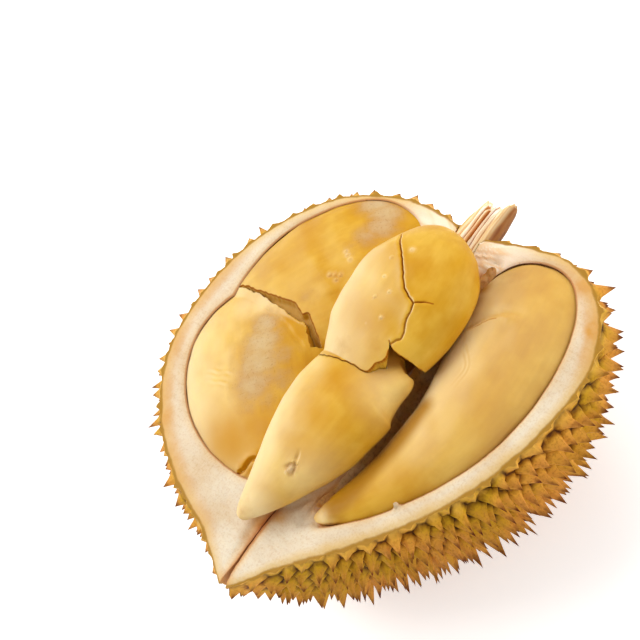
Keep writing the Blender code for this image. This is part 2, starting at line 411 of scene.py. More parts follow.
bmesh.ops.bisect_plane(ball, geom=ball.verts[:] + ball.edges[:] + ball.faces[:], dist=1e-7,
                       plane_co=(0, 0, 0), plane_no=(0, 0, -1), clear_outer=True)
bmesh.ops.holes_fill(ball, edges=[edge for edge in ball.edges if edge.is_boundary], sides=0)
bmesh.ops.recalc_face_normals(ball, faces=ball.faces)
husk = add_piece("thorny_husk", ball, [rind])
print("husk skin:", len(husk.data.polygons), "faces")

# %% [markdown]
# ## Soft bodies along a spine
# An aril is a soft bean. A ball whose rings slide onto a curved spine, and take a width and
# two heights from stations along it, gives such a bean with no seams. The same shape, grown
# by a small gap, is the chamber that the aril lay in, so the chamber fits as it does in the
# fruit, where flesh and chamber grow together.

# %% Stations and the map from a ball to a soft body
ARIL_END_POWER = 0.8    # below 1, the ends are blunter than a ball's

# Each station is a point of the spine, half the width, and the heights above and below, in mm.
ARIL_STATIONS = {
    "centre_upper_aril": (
        (-6, -4, 106, 24, 12, 12), (14, -10, 107, 29, 16, 16), (37, -12, 108, 30, 18, 18),
        (58, -9, 109, 30, 18, 18), (78, -2, 108, 22, 14, 14),
    ),
    "centre_lower_aril": (
        (18, -27, 103, 27, 12, 12), (-2, -16, 104, 28, 15, 15), (-29, -14, 104, 23, 15, 15),
        (-55, -11, 103, 15, 11, 11), (-77, -7, 102, 9, 6, 5),
    ),
    "left_aril": (
        (18, 76, 89, 22, 8, 20), (2, 61, 89, 36, 11, 36), (-18, 39, 90, 38, 13, 40),
        (-38, 18, 90, 34, 12, 36), (-57, -2, 91, 22, 8, 20),
    ),
    "back_aril": (
        (-14, 73, 90, 26, 6, 20), (16, 54, 91, 36, 10, 32), (40, 39, 91, 37, 12, 36),
        (61, 26, 91, 34, 11, 32), (78, 8, 90, 20, 6, 16),
    ),
    "right_aril": (
        (-59, -33, 94, 9, 5, 8), (-30, -49, 91, 15, 9, 18), (9, -60, 90, 22, 13, 32),
        (51, -57, 90, 30, 14, 38), (89, -46, 91, 37, 12, 24),
    ),
}
GROOVE_STATIONS = (
    (82, -27, 97, 6, 6, 5), (50, -33, 95, 10, 10, 16), (12, -38, 94, 11, 12, 24),
    (-26, -39, 95, 10, 10, 15), (-66, -25, 98, 7, 6, 5),
)


def along_spine(stations, shares):
    """Centres, the ways ahead, sideways and up, and the sizes at shares along a spine."""
    rows = np.array(stations, float) * MM
    centres = between(rows[:, :3], shares)
    ahead = between(rows[:, :3], np.minimum(shares + 0.01, 1))
    ahead -= between(rows[:, :3], np.maximum(shares - 0.01, 0))
    ahead /= np.linalg.norm(ahead, axis=1)[:, None]
    side = np.cross((0, 0, 1), ahead)
    side /= np.linalg.norm(side, axis=1)[:, None]
    return centres, ahead, side, np.cross(ahead, side), between(rows[:, 3:], shares)


def soft_body(stations, grow, around, along):
    """A ball drawn out along the spine of the stations, and grown by a gap."""
    bm = bmesh.new()
    bmesh.ops.create_uvsphere(bm, u_segments=around, v_segments=along, radius=1)
    ball = np.array([vert.co[:] for vert in bm.verts])
    centres, ahead, side, rise, sizes = along_spine(stations, (1 + ball[:, 2]) / 2)
    tall = np.where(ball[:, 1] > 0, sizes[:, 1], sizes[:, 2]) + grow
    ring = np.maximum(np.hypot(ball[:, 0], ball[:, 1]), 1e-6)
    blunt = (ring ** (ARIL_END_POWER - 1))[:, None]
    reach = side * (ball[:, 0] * (sizes[:, 0] + grow))[:, None] + rise * (ball[:, 1] * tall)[:, None]
    points = centres + reach * blunt + ahead * (ball[:, 2] * grow)[:, None]
    for vert, point in zip(bm.verts, points):
        vert.co = point
    return bm


print("arils:", ", ".join(ARIL_STATIONS))

# %% [markdown]
# ## The cut face
# The half was opened by prising the seams apart, so the pith isn't sawn flat. It heaves a
# little, rounds over into the chambers, turns down beside the split, and looks spongy near the
# tip. All of this is put on the underside of one large block, a fine grid pulled into that
# shape, and the block is then taken off the top of the husk.

# %% Chambers, and how far a point is from the nearest one
CHAMBER_GAPS = {
    "centre_upper_aril": 0.8, "centre_lower_aril": 0.8, "left_aril": 0.55, "back_aril": 0.35,
    "right_aril": 0.7,
}
GROOVE_ROUGHNESS = ((1.1, 6, 20), (0.4, 1.8, 50))   # heights and sizes in mm, and seeds


def rough(points, size, seed=0.0):
    """Smooth noise from about -1 to 1 whose bumps are of the given size."""
    return np.array([noise.noise(Vector(p) / size + Vector((seed, seed, seed))) for p in points])


chambers = []
for name, stations in ARIL_STATIONS.items():
    room = soft_body(stations, CHAMBER_GAPS[name] * MM, around=112, along=96)
    chambers.append(add_piece(name + "_chamber", room, [lining]))
groove = soft_body(GROOVE_STATIONS, 0, around=96, along=144)
groove_points = np.array([vert.co[:] for vert in groove.verts])
for axis in range(3):
    for height, size, seed in GROOVE_ROUGHNESS:
        groove_points[:, axis] += height * MM * rough(groove_points, size * MM, seed + 7 * axis)
for vert, point in zip(groove.verts, groove_points):
    vert.co = point
chambers.append(add_piece("groove", groove, [lining]))


def surface_tree(pieces):
    """A search tree over the faces of several pieces."""
    points = []
    faces = []
    for piece in pieces:
        start = len(points)
        points += [vert.co.copy() for vert in piece.data.vertices]
        faces += [[start + i for i in polygon.vertices] for polygon in piece.data.polygons]
    return BVHTree.FromPolygons(points, faces)


chamber_tree = surface_tree(chambers)
print("chambers:", len(chambers))

# %% [markdown]
# Seen from above, the cut face is a height at each place, so it can be worked out by adding up
# small reliefs: the heave of the pith, the rounding at the chambers and at the skin, the pits
# near the tip, the fibres that fan out of the stem's root, the slopes of the split and of the
# groove, and one torn shred of pith that stands up beside the right aril.

# %% Shape of the cut face
SPLIT_START = Vector((-0.112, -0.0166, 0))      # the split runs in from the tip
SPLIT_END = Vector((-0.062, -0.0119, 0))
LIP_REACH = 3.0 * MM        # how far the pith rounds over into a chamber, and how deep
LIP_DROP = 1.6 * MM
EDGE_REACH = 3.0 * MM       # the same at the skin
EDGE_DROP = 0.9 * MM
PIT_DEPTH = 0.3 * MM
FIBRE_HEIGHT = 0.9 * MM
FACET_DEPTH = 2.4 * MM      # how deep the face slopes down to the split
GROOVE_SINK = 3.0 * MM
SHRED_PLACE = np.array((-34.5, -61.5)) * MM
SHRED_TURN = np.array(((0.94, -0.34), (0.34, 0.94)))
SHRED_HEIGHT = 5.0 * MM
SHRED_LENGTH = 1.3 * MM
SHRED_THICKNESS = 0.9 * MM
BLOCK_REACH = 122 * MM
BLOCK_HEIGHT = 80 * MM
BLOCK_CELLS = 230


def skin_gap(points):
    """How far inside the outline of the rim each point lies."""
    angles = np.degrees(np.arctan2(points[:, 1], points[:, 0]))
    return np.interp(angles, DEGREES, rim_reach, period=360) - np.hypot(points[:, 0], points[:, 1])


def split_frame(points):
    """Distance along the split from the tip, and sideways from it."""
    run = (SPLIT_END - SPLIT_START).normalized()
    offset = points[:, :2] - np.array(SPLIT_START[:2])
    return offset @ np.array(run[:2]), offset @ np.array((-run.y, run.x))


def root_fibres(points):
    """Ridges from -1 to 1 that fan out of the stem's root."""
    from_stem = np.hypot(points[:, 0] - STEM_ROOT.x, points[:, 1] - STEM_ROOT.y)
    bearing = np.arctan2(points[:, 1] - STEM_ROOT.y, points[:, 0] - STEM_ROOT.x)
    rays = np.column_stack((np.cos(bearing) * 9, np.sin(bearing) * 9, from_stem / (14 * MM)))
    return rough(rays, 1.0, 2)


def groove_gap(points):
    """How far each point lies from the middle of the groove, seen from above."""
    spine = between([row[:2] for row in GROOVE_STATIONS], np.linspace(0, 1, 60)) * MM
    return np.min([np.hypot(*(points[:, :2] - spot).T) for spot in spine], axis=0)


def cut_heights(points):
    """How high the cut face is at each point of the level rim."""
    heave = 0.6 * MM * rough(points, 30 * MM) + 0.35 * MM * rough(points, 9 * MM, 3)
    lip = np.array([chamber_tree.find_nearest(Vector(p))[3] for p in points])
    lip_drop = LIP_DROP * (1 - fade(lip, 0, LIP_REACH)) ** 2
    edge_drop = EDGE_DROP * (1 - fade(skin_gap(points), 0, EDGE_REACH))
    near_tip = 1 - fade(points[:, 0], -75 * MM, -35 * MM)
    pits = near_tip * PIT_DEPTH * np.abs(rough(points, 2.6 * MM, 7))
    crumble = 0.12 * MM * rough(points * (1, 0.5, 1), 2.2 * MM, 9)
    from_stem = np.hypot(points[:, 0] - STEM_ROOT.x, points[:, 1] - STEM_ROOT.y)
    fibres = FIBRE_HEIGHT * root_fibres(points) * (1 - fade(from_stem, 14 * MM, 42 * MM))
    along, across = split_frame(points)
    inner = fade(along, 0, 50 * MM) * (1 - fade(along, 56 * MM, 66 * MM))
    facet = FACET_DEPTH * inner * (1 - fade(np.abs(across - 1.2 * MM), 1.0 * MM, 5.0 * MM))
    sunk = GROOVE_SINK * (1 - fade(groove_gap(points), 2 * MM, 17 * MM))
    sunk *= 1 - fade(points[:, 0], 66 * MM, 76 * MM)
    shred = (points[:, :2] - SHRED_PLACE) @ SHRED_TURN.T / (SHRED_LENGTH, SHRED_THICKNESS)
    raised = SHRED_HEIGHT * np.exp(-np.sum(shred ** 2, axis=1))
    height = rim_height + heave + crumble + fibres + raised
    return height - lip_drop - edge_drop - pits - facet - sunk


def cutting_block():
    """A block above the cut face whose fine underside has the face's shape."""
    bm = bmesh.new()
    bmesh.ops.create_grid(bm, x_segments=BLOCK_CELLS, y_segments=BLOCK_CELLS, size=BLOCK_REACH)
    bmesh.ops.translate(bm, verts=bm.verts, vec=(0, 0, rim_height))
    points = np.array([vert.co[:] for vert in bm.verts])
    for vert, height in zip(bm.verts, cut_heights(points)):
        vert.co.z = height
    rim = [edge for edge in bm.edges if edge.is_boundary]
    lifted = bmesh.ops.extrude_edge_only(bm, edges=rim)["geom"]
    for vert in [item for item in lifted if isinstance(item, bmesh.types.BMVert)]:
        vert.co.z = rim_height + BLOCK_HEIGHT
    bmesh.ops.holes_fill(bm, edges=[edge for edge in bm.edges if edge.is_boundary], sides=0)
    bmesh.ops.recalc_face_normals(bm, faces=bm.faces)
    return add_piece("cutting_block", bm, [pith])


block = cutting_block()
print("cutting block:", len(block.data.polygons), "faces")

# %% [markdown]
# ## Chambers and split
# A thin wedge stands in the split between the two valves at the tip. Booleans suit all of the
# cuts, because the wall that stays behind is whatever the cutters leave, as on the fruit. The
# pieces are closed meshes, so the quick Manifold solver can be used, and each cutter's
# material stays on the wall it leaves. The socket of the stem is cut later, from the stem.

# %% Make the cuts
SPLIT_MOUTH = 7.0 * MM      # width at the tip
SPLIT_CLOSE = 0.7 * MM      # width at the inner end
SPLIT_FLOOR = 50 * MM       # height of its floor at the tip
SPLIT_SHALLOW = 12 * MM     # depth at the inner end
SPLIT_SWAY = 0.6 * MM


def split_wedge():
    """A thin wedge that stands in the split."""
    bm = bmesh.new()
    bmesh.ops.create_cube(bm, size=1)
    run = SPLIT_END - SPLIT_START
    side = Vector((-run.y, run.x, 0)).normalized()
    for vert in bm.verts:
        along = vert.co.x + 0.5
        spot = SPLIT_START + run * along
        floor = SPLIT_FLOOR + (rim_height - SPLIT_SHALLOW - SPLIT_FLOOR) * along
        spot.z = rim_height + 20 * MM if vert.co.z > 0 else floor
        vert.co = spot + side * vert.co.y * SPLIT_MOUTH
    bmesh.ops.subdivide_edges(bm, edges=bm.edges[:], cuts=24, use_grid_fill=True)
    points = np.array([vert.co[:] for vert in bm.verts])
    along, across = split_frame(points)
    widths = SPLIT_CLOSE + (SPLIT_MOUTH - SPLIT_CLOSE) * np.clip(1 - along / run.length, 0, 1) ** 4
    sways = SPLIT_SWAY * rough(points * (1, 1, 0), 9 * MM, 4)
    shifts = across * (widths / SPLIT_MOUTH - 1) + sways
    for vert, shift in zip(bm.verts, shifts):
        vert.co += side * shift
    bmesh.ops.recalc_face_normals(bm, faces=bm.faces)
    return add_piece("split_wedge", bm, [pith])


def carve(piece, cutters):
    """Take the cutters out of a piece, then remove them."""
    for cutter in cutters:
        modifier = piece.modifiers.new("cut", "BOOLEAN")
        modifier.operation = "DIFFERENCE"
        modifier.solver = "MANIFOLD"
        modifier.material_mode = "TRANSFER"
        modifier.object = cutter
    graph = bpy.context.evaluated_depsgraph_get()
    piece.data = bpy.data.meshes.new_from_object(piece.evaluated_get(graph))
    piece.modifiers.clear()
    for cutter in cutters:
        bpy.data.objects.remove(cutter, do_unlink=True)


carve(husk, [block, split_wedge()] + chambers)
print("husk after the cuts:", len(husk.data.polygons), "faces,",
      [material.name for material in husk.data.materials])

# %% [markdown]
# ## Values that the materials will read
# A material can follow the shape only if the mesh carries what it needs to know. So each
# point of the husk gets how far it lies inside the rim, how far it is from the nearest
# chamber, and how far it is from the split. In the hollow by the stem that chamber distance
# is made shorter, which paints shade there. It also gets shares for what the pith shows only
# in places: amber patches, two of them painted shade, painted shade beside the groove, and the
# white fibres at the stem, with painted light round them. The climb of the thorns came through
# the cuts.

# %% Write the husk's values
# Each spot is a place and a reach in mm, and a strength.
# Amber patches of the pith; the two spots on the right, beside the right aril, are painted shade.
AMBER_AND_SHADE_SPOTS = (
    (-32, 88, 95, 26, 0.7), (-56, 68, 95, 24, 0.8), (-72, 44, 95, 22, 0.8), (2, 95, 95, 26, 0.7),
    (-88, 14, 95, 14, 0.5), (88, -72, 95, 16, 0.9), (72, -86, 95, 18, 1.0),
)
SPLIT_AMBER = ((-73, -10.5, 94, 5, 1.0), (-66, -17, 94, 5, 0.9), (-80, -11, 94, 4, 0.7))
# Painted shade in the hollow between the stem and the right aril: the chamber's brown edge spreads
# there, and no white is laid round the stem.
PITH_HOLLOW_SHADE_SPOTS = ((69, -25, 91, 4, 0.9), (64, -27, 88, 5, 1.0))


def spots(points, rows):
    """The strongest of soft round spots, each a centre, a reach in mm and a strength."""
    total = np.zeros(len(points))
    for x, y, z, reach, strength in rows:
        far = np.linalg.norm(points - np.array((x, y, z)) * MM, axis=1) / MM
        total = np.maximum(total, strength * np.exp(-(far / reach) ** 2))
    return total


def set_values(piece, name, values):
    """Store one number at each point of a piece."""
    layer = piece.data.attributes.get(name) or piece.data.attributes.new(name, "FLOAT", "POINT")
    layer.data.foreach_set("value", np.asarray(values, np.float32))


def point_array(piece):
    """The places of a piece's points as an array."""
    flat = np.zeros(len(piece.data.vertices) * 3, np.float32)
    piece.data.vertices.foreach_get("co", flat)
    return flat.reshape(-1, 3).astype(float)


def smooth_with_ridges(piece, angle):
    """Shade a piece smooth but for edges sharper than an angle in degrees."""
    piece.data.shade_smooth()
    piece.data.set_sharp_from_angle(angle=math.radians(angle))


husk_points = point_array(husk)
set_values(husk, "skin_gap", skin_gap(husk_points) / MM)
chamber_gap = [chamber_tree.find_nearest(Vector(point))[3] for point in husk_points]
# In the hollow the distance is made shorter, so the chamber's brown edge spreads there as painted
# shade.
chamber_gap = np.array(chamber_gap) / MM * (1 - spots(husk_points, PITH_HOLLOW_SHADE_SPOTS))
set_values(husk, "chamber_gap", chamber_gap)
split_along, split_across = split_frame(husk_points)
split_far = np.hypot(split_across, np.maximum(split_along - 52 * MM, 0))
set_values(husk, "split_gap", split_far / MM)
stem_far = np.hypot(husk_points[:, 0] - STEM_ROOT.x, husk_points[:, 1] - STEM_ROOT.y)
root_fibre = (0.5 + 0.6 * root_fibres(husk_points)) * (1 - fade(stem_far, 16 * MM, 45 * MM))
set_values(husk, "root_fibre", root_fibre)
amber = spots(husk_points, AMBER_AND_SHADE_SPOTS) * (1 - 0.8 * fade(skin_gap(husk_points), 5 * MM, 9 * MM))
set_values(husk, "amber", np.maximum(amber, spots(husk_points, SPLIT_AMBER)))
# Painted shade: the pith is tinted tan-orange beside the groove, between the tip and the stem.
moist = 1 - fade(groove_gap(husk_points), 3 * MM, 12 * MM)
moist *= fade(husk_points[:, 0], -66 * MM, -40 * MM) * (1 - fade(husk_points[:, 0], 70 * MM, 77 * MM))
set_values(husk, "moist", moist)
# Whiter round the stem: white fibres, and painted light in the upper aril's shadow.
near_stem = 0.85 * (1 - fade(stem_far, 20 * MM, 44 * MM)) * (1 - spots(husk_points, PITH_HOLLOW_SHADE_SPOTS))
set_values(husk, "near_stem", near_stem * fade(husk_points[:, 2], 91 * MM, 94 * MM))
smooth_with_ridges(husk, 32)
print("values on the husk:", [layer.name for layer in husk.data.attributes
                              if layer.data_type == "FLOAT"])

# %% [markdown]
# ## Marks on the flesh
# Ripe flesh is a soft custard under a thin skin. Where the fruit was prised open the skin has
# cracked, folded over and puckered, and those marks are what make it look like flesh. They
# could be painted into a bump map, but cracks and folds catch real light and shadow, so they
# are pressed into the mesh. Each mark is a line on the surface and a profile across it.

# %% Distance from a marked line
SEEN_FROM_ABOVE = (1, 1, 0.2)   # heights count little, so a mark needn't lie on the surface


def marked_line(points, stray=0.0, seed=1):
    """A smooth line through points in mm that wanders a little from side to side."""
    shares = np.linspace(0, 1, 10 * len(points))
    line = between(points, shares * JUST_SHORT) * MM
    wander = [rough(line, 2.2 * MM, seed + 10 * axis) for axis in range(3)]
    return line + np.column_stack(wander) * stray * MM


def near_line(points, line, reach=20 * MM):
    """Distance to a line, share along it, and the side: positive to its left from above."""
    points = points * SEEN_FROM_ABOVE
    line = line * SEEN_FROM_ABOVE
    best = np.full(len(points), 1.0)
    along = np.zeros(len(points))
    side = np.zeros(len(points))
    low, high = line.min(axis=0) - reach, line.max(axis=0) + reach
    index = np.nonzero(np.all((points > low) & (points < high), axis=1))[0]
    for k in range(len(line) - 1):
        run = line[k + 1] - line[k]
        length = max(np.linalg.norm(run), 1e-9)
        t = np.clip((points[index] - line[k]) @ run / length ** 2, 0, 1)
        offset = points[index] - line[k] - t[:, None] * run
        far = np.linalg.norm(offset, axis=1)
        closer = far < best[index]
        chosen = index[closer]
        best[chosen] = far[closer]
        along[chosen] = (k + t[closer]) / (len(line) - 1)
        side[chosen] = (run[0] * offset[closer, 1] - run[1] * offset[closer, 0]) / length
    return best, along, side


def taper(along, start=0.12, end=0.12):
    """1 along a mark, falling to 0 at its ends."""
    return fade(along, 0, start) * (1 - fade(along, 1 - end, 1))


print("a line of", len(marked_line(((0, 0, 0), (10, 0, 0), (20, 5, 0)))), "points")

# %% [markdown]
# Four profiles give all the marks: a crack is a thin valley between raised lips, a fold is a
# rounded ridge with a hollow along one side, a swelling is a soft rise or hollow round a point,
# and wrinkles are a few fine ridges side by side.

# %% Profiles of the marks
def crack(points, line, width, depth, lip, ends=(0.1, 0.1)):
    """Height of a thin valley with raised lips. Sizes are in mm."""
    far, along, _ = near_line(points, line)
    d = far / MM
    valley = -depth * np.clip(1 - d / width, 0, 1) ** 0.7
    lips = lip * np.exp(-((d - width - 0.9) / 1.1) ** 2)
    return (valley + lips) * taper(along, *ends) * MM


def fold(points, line, width, height, hollow, ends=(0.2, 0.2)):
    """Height of a rounded ridge, with a hollow on the left of its line. Sizes are in mm."""
    far, along, side = near_line(points, line)
    d = far / MM * np.sign(side)
    ridge = height * np.exp(-(np.minimum(d, 0) / width) ** 2) * (d <= 0)
    dip = height * (1 - fade(d, 0, 0.8 * width)) * (d > 0)
    dip -= hollow * np.exp(-((d - 0.7 * width) / (0.5 * width)) ** 2) * (d > 0)
    return (ridge + dip) * taper(along, *ends) * MM


def swelling(points, centre, reach, height):
    """Height of a soft rise round a point. Sizes are in mm."""
    far = np.linalg.norm(points - np.array(centre) * MM, axis=1) / MM
    return height * np.exp(-(far / reach) ** 2) * MM


def wrinkles(points, line, spacing, height, reach):
    """Fine ridges that run along a line, side by side. Sizes are in mm."""
    far, along, side = near_line(points, line)
    d = side / MM
    waves = np.sin(2 * math.pi * d / spacing + 3 * rough(points, 6 * MM, 5))
    return height * waves * np.exp(-(far / MM / reach) ** 2) * taper(along, 0.3, 0.3) * MM


probe = np.array([[0.0, 0.0, 0.0], [0.001, 0.0, 0.0]])
print("a swelling 1 mm from its centre:", swelling(probe, (0, 0, 0), 3, 0.5)[1] / MM, "mm")

# %% [markdown]
# Where a crack runs, the mesh has to be finer than elsewhere. Subdividing only the edges near
# the lines puts small faces where they are needed and keeps the rest light.

# %% Fine faces along the marks
def refine(bm, lines, reaches):
    """Halve the edges that lie near the lines, once for each reach in mm."""
    for reach in reaches:
        points = np.array([vert.co[:] for vert in bm.verts])
        close = np.zeros(len(points), bool)
        for line in lines:
            close |= near_line(points, line, reach * MM)[0] < reach * MM
        bm.verts.index_update()
        edges = [edge for edge in bm.edges if all(close[vert.index] for vert in edge.verts)]
        bmesh.ops.subdivide_edges(bm, edges=edges, cuts=1, use_grid_fill=True)
        bmesh.ops.triangulate(bm, faces=[face for face in bm.faces if len(face.verts) > 4])


ARIL_AROUND = 150
ARIL_ALONG = 120
print("an aril starts with", ARIL_AROUND * ARIL_ALONG, "faces")

# %% [markdown]
# ## The five arils
# The marks of each aril are named after what they are. Their points are places on the CAD
# model's surface in millimetres. The upper middle aril has a long crack across its crown that
# forks, and its lower end is a ragged flap of skin that lies on the next aril.

# %% Marks of each aril
CROWN_CRACK = marked_line((
    (68, 8, 116), (60, 1, 122.5), (55, -5, 125), (48, -12.5, 126), (42.5, -17, 126),
    (39.5, -21, 125), (37.4, -25.8, 124), (33.5, -26.8, 123), (28, -28, 122),
    (24, -29.5, 120.5), (21.5, -29.2, 120), (18.4, -26.9, 120)), 0.5, 3)
CROWN_BRANCH = marked_line(((37.4, -25.8, 124), (39.5, -28.5, 123), (42, -32.5, 121)), 0.4, 4)
FLAP_EDGE = marked_line((
    (10, -50, 100), (11.5, -42, 108), (13, -35, 114), (14.2, -30.5, 118),
    (15.9, -27.6, 119.5), (13.5, -27.6, 118.3), (10.8, -27.1, 117.4), (8.3, -25, 117.3),
    (5, -23.6, 116), (3.3, -22.3, 115.5), (2.9, -18.5, 116.2), (2.7, -14, 116.7),
    (1.4, -5.3, 115.5), (0.2, 2, 112), (-0.8, 8.6, 108.4), (-5, 16, 104)), 0.5, 5)
UPPER_LIP = marked_line((
    (19, -25.4, 120), (16.6, -28.4, 119), (16.4, -32.2, 117), (16.9, -35.3, 114.3),
    (17.4, -38, 110), (18.6, -43, 100)), 0.4, 6)
LOWER_LIP = marked_line((
    (17.6, -26.6, 120), (15.2, -28.6, 118), (13.8, -31.5, 116), (12.8, -33.8, 114.2),
    (12.7, -36, 112), (13.4, -38.5, 107.8), (14.5, -43, 100)), 0.5, 7)
PUCKER_FOLDS = (
    marked_line(((-46, -21.2, 114), (-48.5, -19, 114), (-51, -16.6, 113.8)), 0.3, 13),
    marked_line(((-46, -21.4, 113.8), (-49.5, -21.9, 112.4), (-52.4, -22.6, 110.7)), 0.3, 14),
    marked_line(((-46, -21.2, 114), (-43.5, -20.6, 115), (-38.5, -19.4, 116.5)), 0.3, 15),
)
PUCKER_RIDGE = marked_line((
    (-43.4, -21.2, 115), (-48.6, -20.4, 113.3), (-52.6, -19.8, 112.2)), 0.2, 16)
LEFT_TORN_EDGE = marked_line((
    (11, 82, 93), (11.6, 76.8, 93), (12.1, 72.4, 94.4), (12.1, 65.9, 95.8),
    (12.4, 60.9, 96.6), (11.7, 52.8, 97.7), (11.6, 45.6, 98.2), (10.8, 39.6, 98.5),
    (10.6, 34.9, 98.2), (11.2, 31.8, 97.7), (7.5, 26.7, 98.2), (4.3, 21.8, 98.4),
    (1.6, 18.3, 98.3), (-3, 12, 98)), 0.6, 8)
BACK_TORN_EDGE = marked_line((
    (0, 12, 97), (7, 20, 97), (11.3, 25.2, 97.8), (14, 29.3, 99.3), (15.9, 33, 100),
    (14.6, 35.1, 99.9), (15.4, 38.8, 100.2), (16.8, 42.5, 100.5), (15.8, 49.1, 100),
    (14.8, 56.1, 99.4), (14.1, 62.5, 98.5), (13.7, 67.7, 97.5), (12.8, 75.8, 95.3),
    (11.4, 82, 93)), 0.7, 18)
LEFT_SECOND_FOLD = marked_line((
    (10, 64.2, 96.7), (9.5, 56.8, 97.9), (7.5, 50.2, 99), (6.5, 43.7, 99.5),
    (5.3, 37.7, 99.8), (3.3, 30.5, 100), (1.5, 24.5, 99.7), (0, 20.2, 99.2)), 0.5, 9)
LEFT_LOW_TEAR = marked_line((
    (-51, 8, 97), (-52.8, 10.2, 96.8), (-55.7, 11.3, 96), (-58.8, 11.9, 94.7),
    (-61.5, 14.5, 93)), 0.3, 19)
LEFT_WRINKLES = (
    marked_line(((-32.4, 60, 99), (-29, 51, 101.5), (-25.7, 42, 102.5))),
    marked_line(((-36, 54.5, 99.8), (-33.5, 48, 101.4), (-31.5, 41.5, 102.2))),
)
BACK_FOLD = marked_line((
    (50, 74, 95), (44.1, 63.3, 99.9), (38.3, 50.1, 102.1), (35, 41.7, 102.7),
    (32.8, 34.7, 102.4), (29.4, 24.6, 101.3)), 0.6, 10)
RIGHT_CREASE = marked_line((
    (44, -38, 96), (46.1, -42.9, 99.8), (52.7, -47.2, 101.3), (57.4, -53.2, 101.5),
    (58.5, -58.4, 101.5), (58.3, -66.5, 100.8)), 0.4, 12)
RIGHT_SHOULDER = marked_line((
    (39.3, -43, 100.5), (36, -47, 101.5), (28.4, -53.3, 102.8), (14.8, -52.5, 102.4)))
LINES = {
    "centre_upper_aril": (CROWN_CRACK, CROWN_BRANCH, FLAP_EDGE),
    "centre_lower_aril": (*PUCKER_FOLDS, PUCKER_RIDGE),
    "left_aril": (LEFT_TORN_EDGE, LEFT_SECOND_FOLD, LEFT_LOW_TEAR, *LEFT_WRINKLES),
    "back_aril": (BACK_TORN_EDGE, BACK_FOLD),
    "right_aril": (RIGHT_CREASE, RIGHT_SHOULDER),
}
print("marks:", {name: len(lines) for name, lines in LINES.items()})

# %% [markdown]
# Droplets and crumbs of flesh cling to the upper aril and to the one behind it. They are small
# swellings with steep sides. Where a dry membrane clings, the flesh is finely wrinkled.

# %% Relief of each aril
CROWN_BEADS = ((41, -7, 126), (31.5, -9, 125.2), (25, -17, 124), (50, -4, 125.6), (57.5, -9.5, 125),
               (36, -14, 125.8), (20, -12, 122))
BACK_CRUMBS = ((48.9, 35.4, 102.7), (46.7, 31, 102.6), (47.8, 33.4, 102.6), (35.7, 34.5, 102.7),
               (38.1, 30.1, 102.5), (35.1, 30.2, 102.5), (36.8, 32.4, 102.5))

# Where the dry membrane clings: each spot is a place and a reach in mm, and a strength.
PALE_SPOTS = {
    "left_aril": ((1, 48, 100, 8, 1.0), (-7, 42, 101, 11, 1.0), (-16, 36, 102, 12, 0.95),
                  (-25, 31, 102, 12, 0.85), (-34, 27, 102, 8, 0.5), (-8, 30, 102, 10, 0.6),
                  (-17, 23, 102, 10, 0.6), (-27, 20, 102, 8, 0.5)),
    "back_aril": ((78, 44, 96, 10, 1.0), (76, 35, 98, 10, 1.0), (69, 31, 99, 9, 0.9),
                  (61, 33, 101, 8, 0.7), (52, 35, 102, 6, 0.4), (22, 38, 101, 7, 0.4)),
    "centre_upper_aril": ((6, -6, 118, 7, 0.3), (15, -22, 120, 5, 0.3)),
    "centre_lower_aril": ((-48.5, -20.4, 113.5, 3, 0.9), (-75, -9, 108, 9, 0.3)),
    "right_aril": ((78, -40, 95, 8, 0.4),),
}


def beads(points, centres, size, height):
    """Height of small steep-sided drops round their centres. Sizes are in mm."""
    total = np.zeros(len(points))
    for i, centre in enumerate(centres):
        far = np.linalg.norm(points - np.array(centre) * MM, axis=1) / MM
        reach = size * (0.75 + 0.5 * ((i * 0.618) % 1))
        total = np.maximum(total, height * np.sqrt(np.clip(1 - (far / reach) ** 2, 0, 1)))
    return total * MM


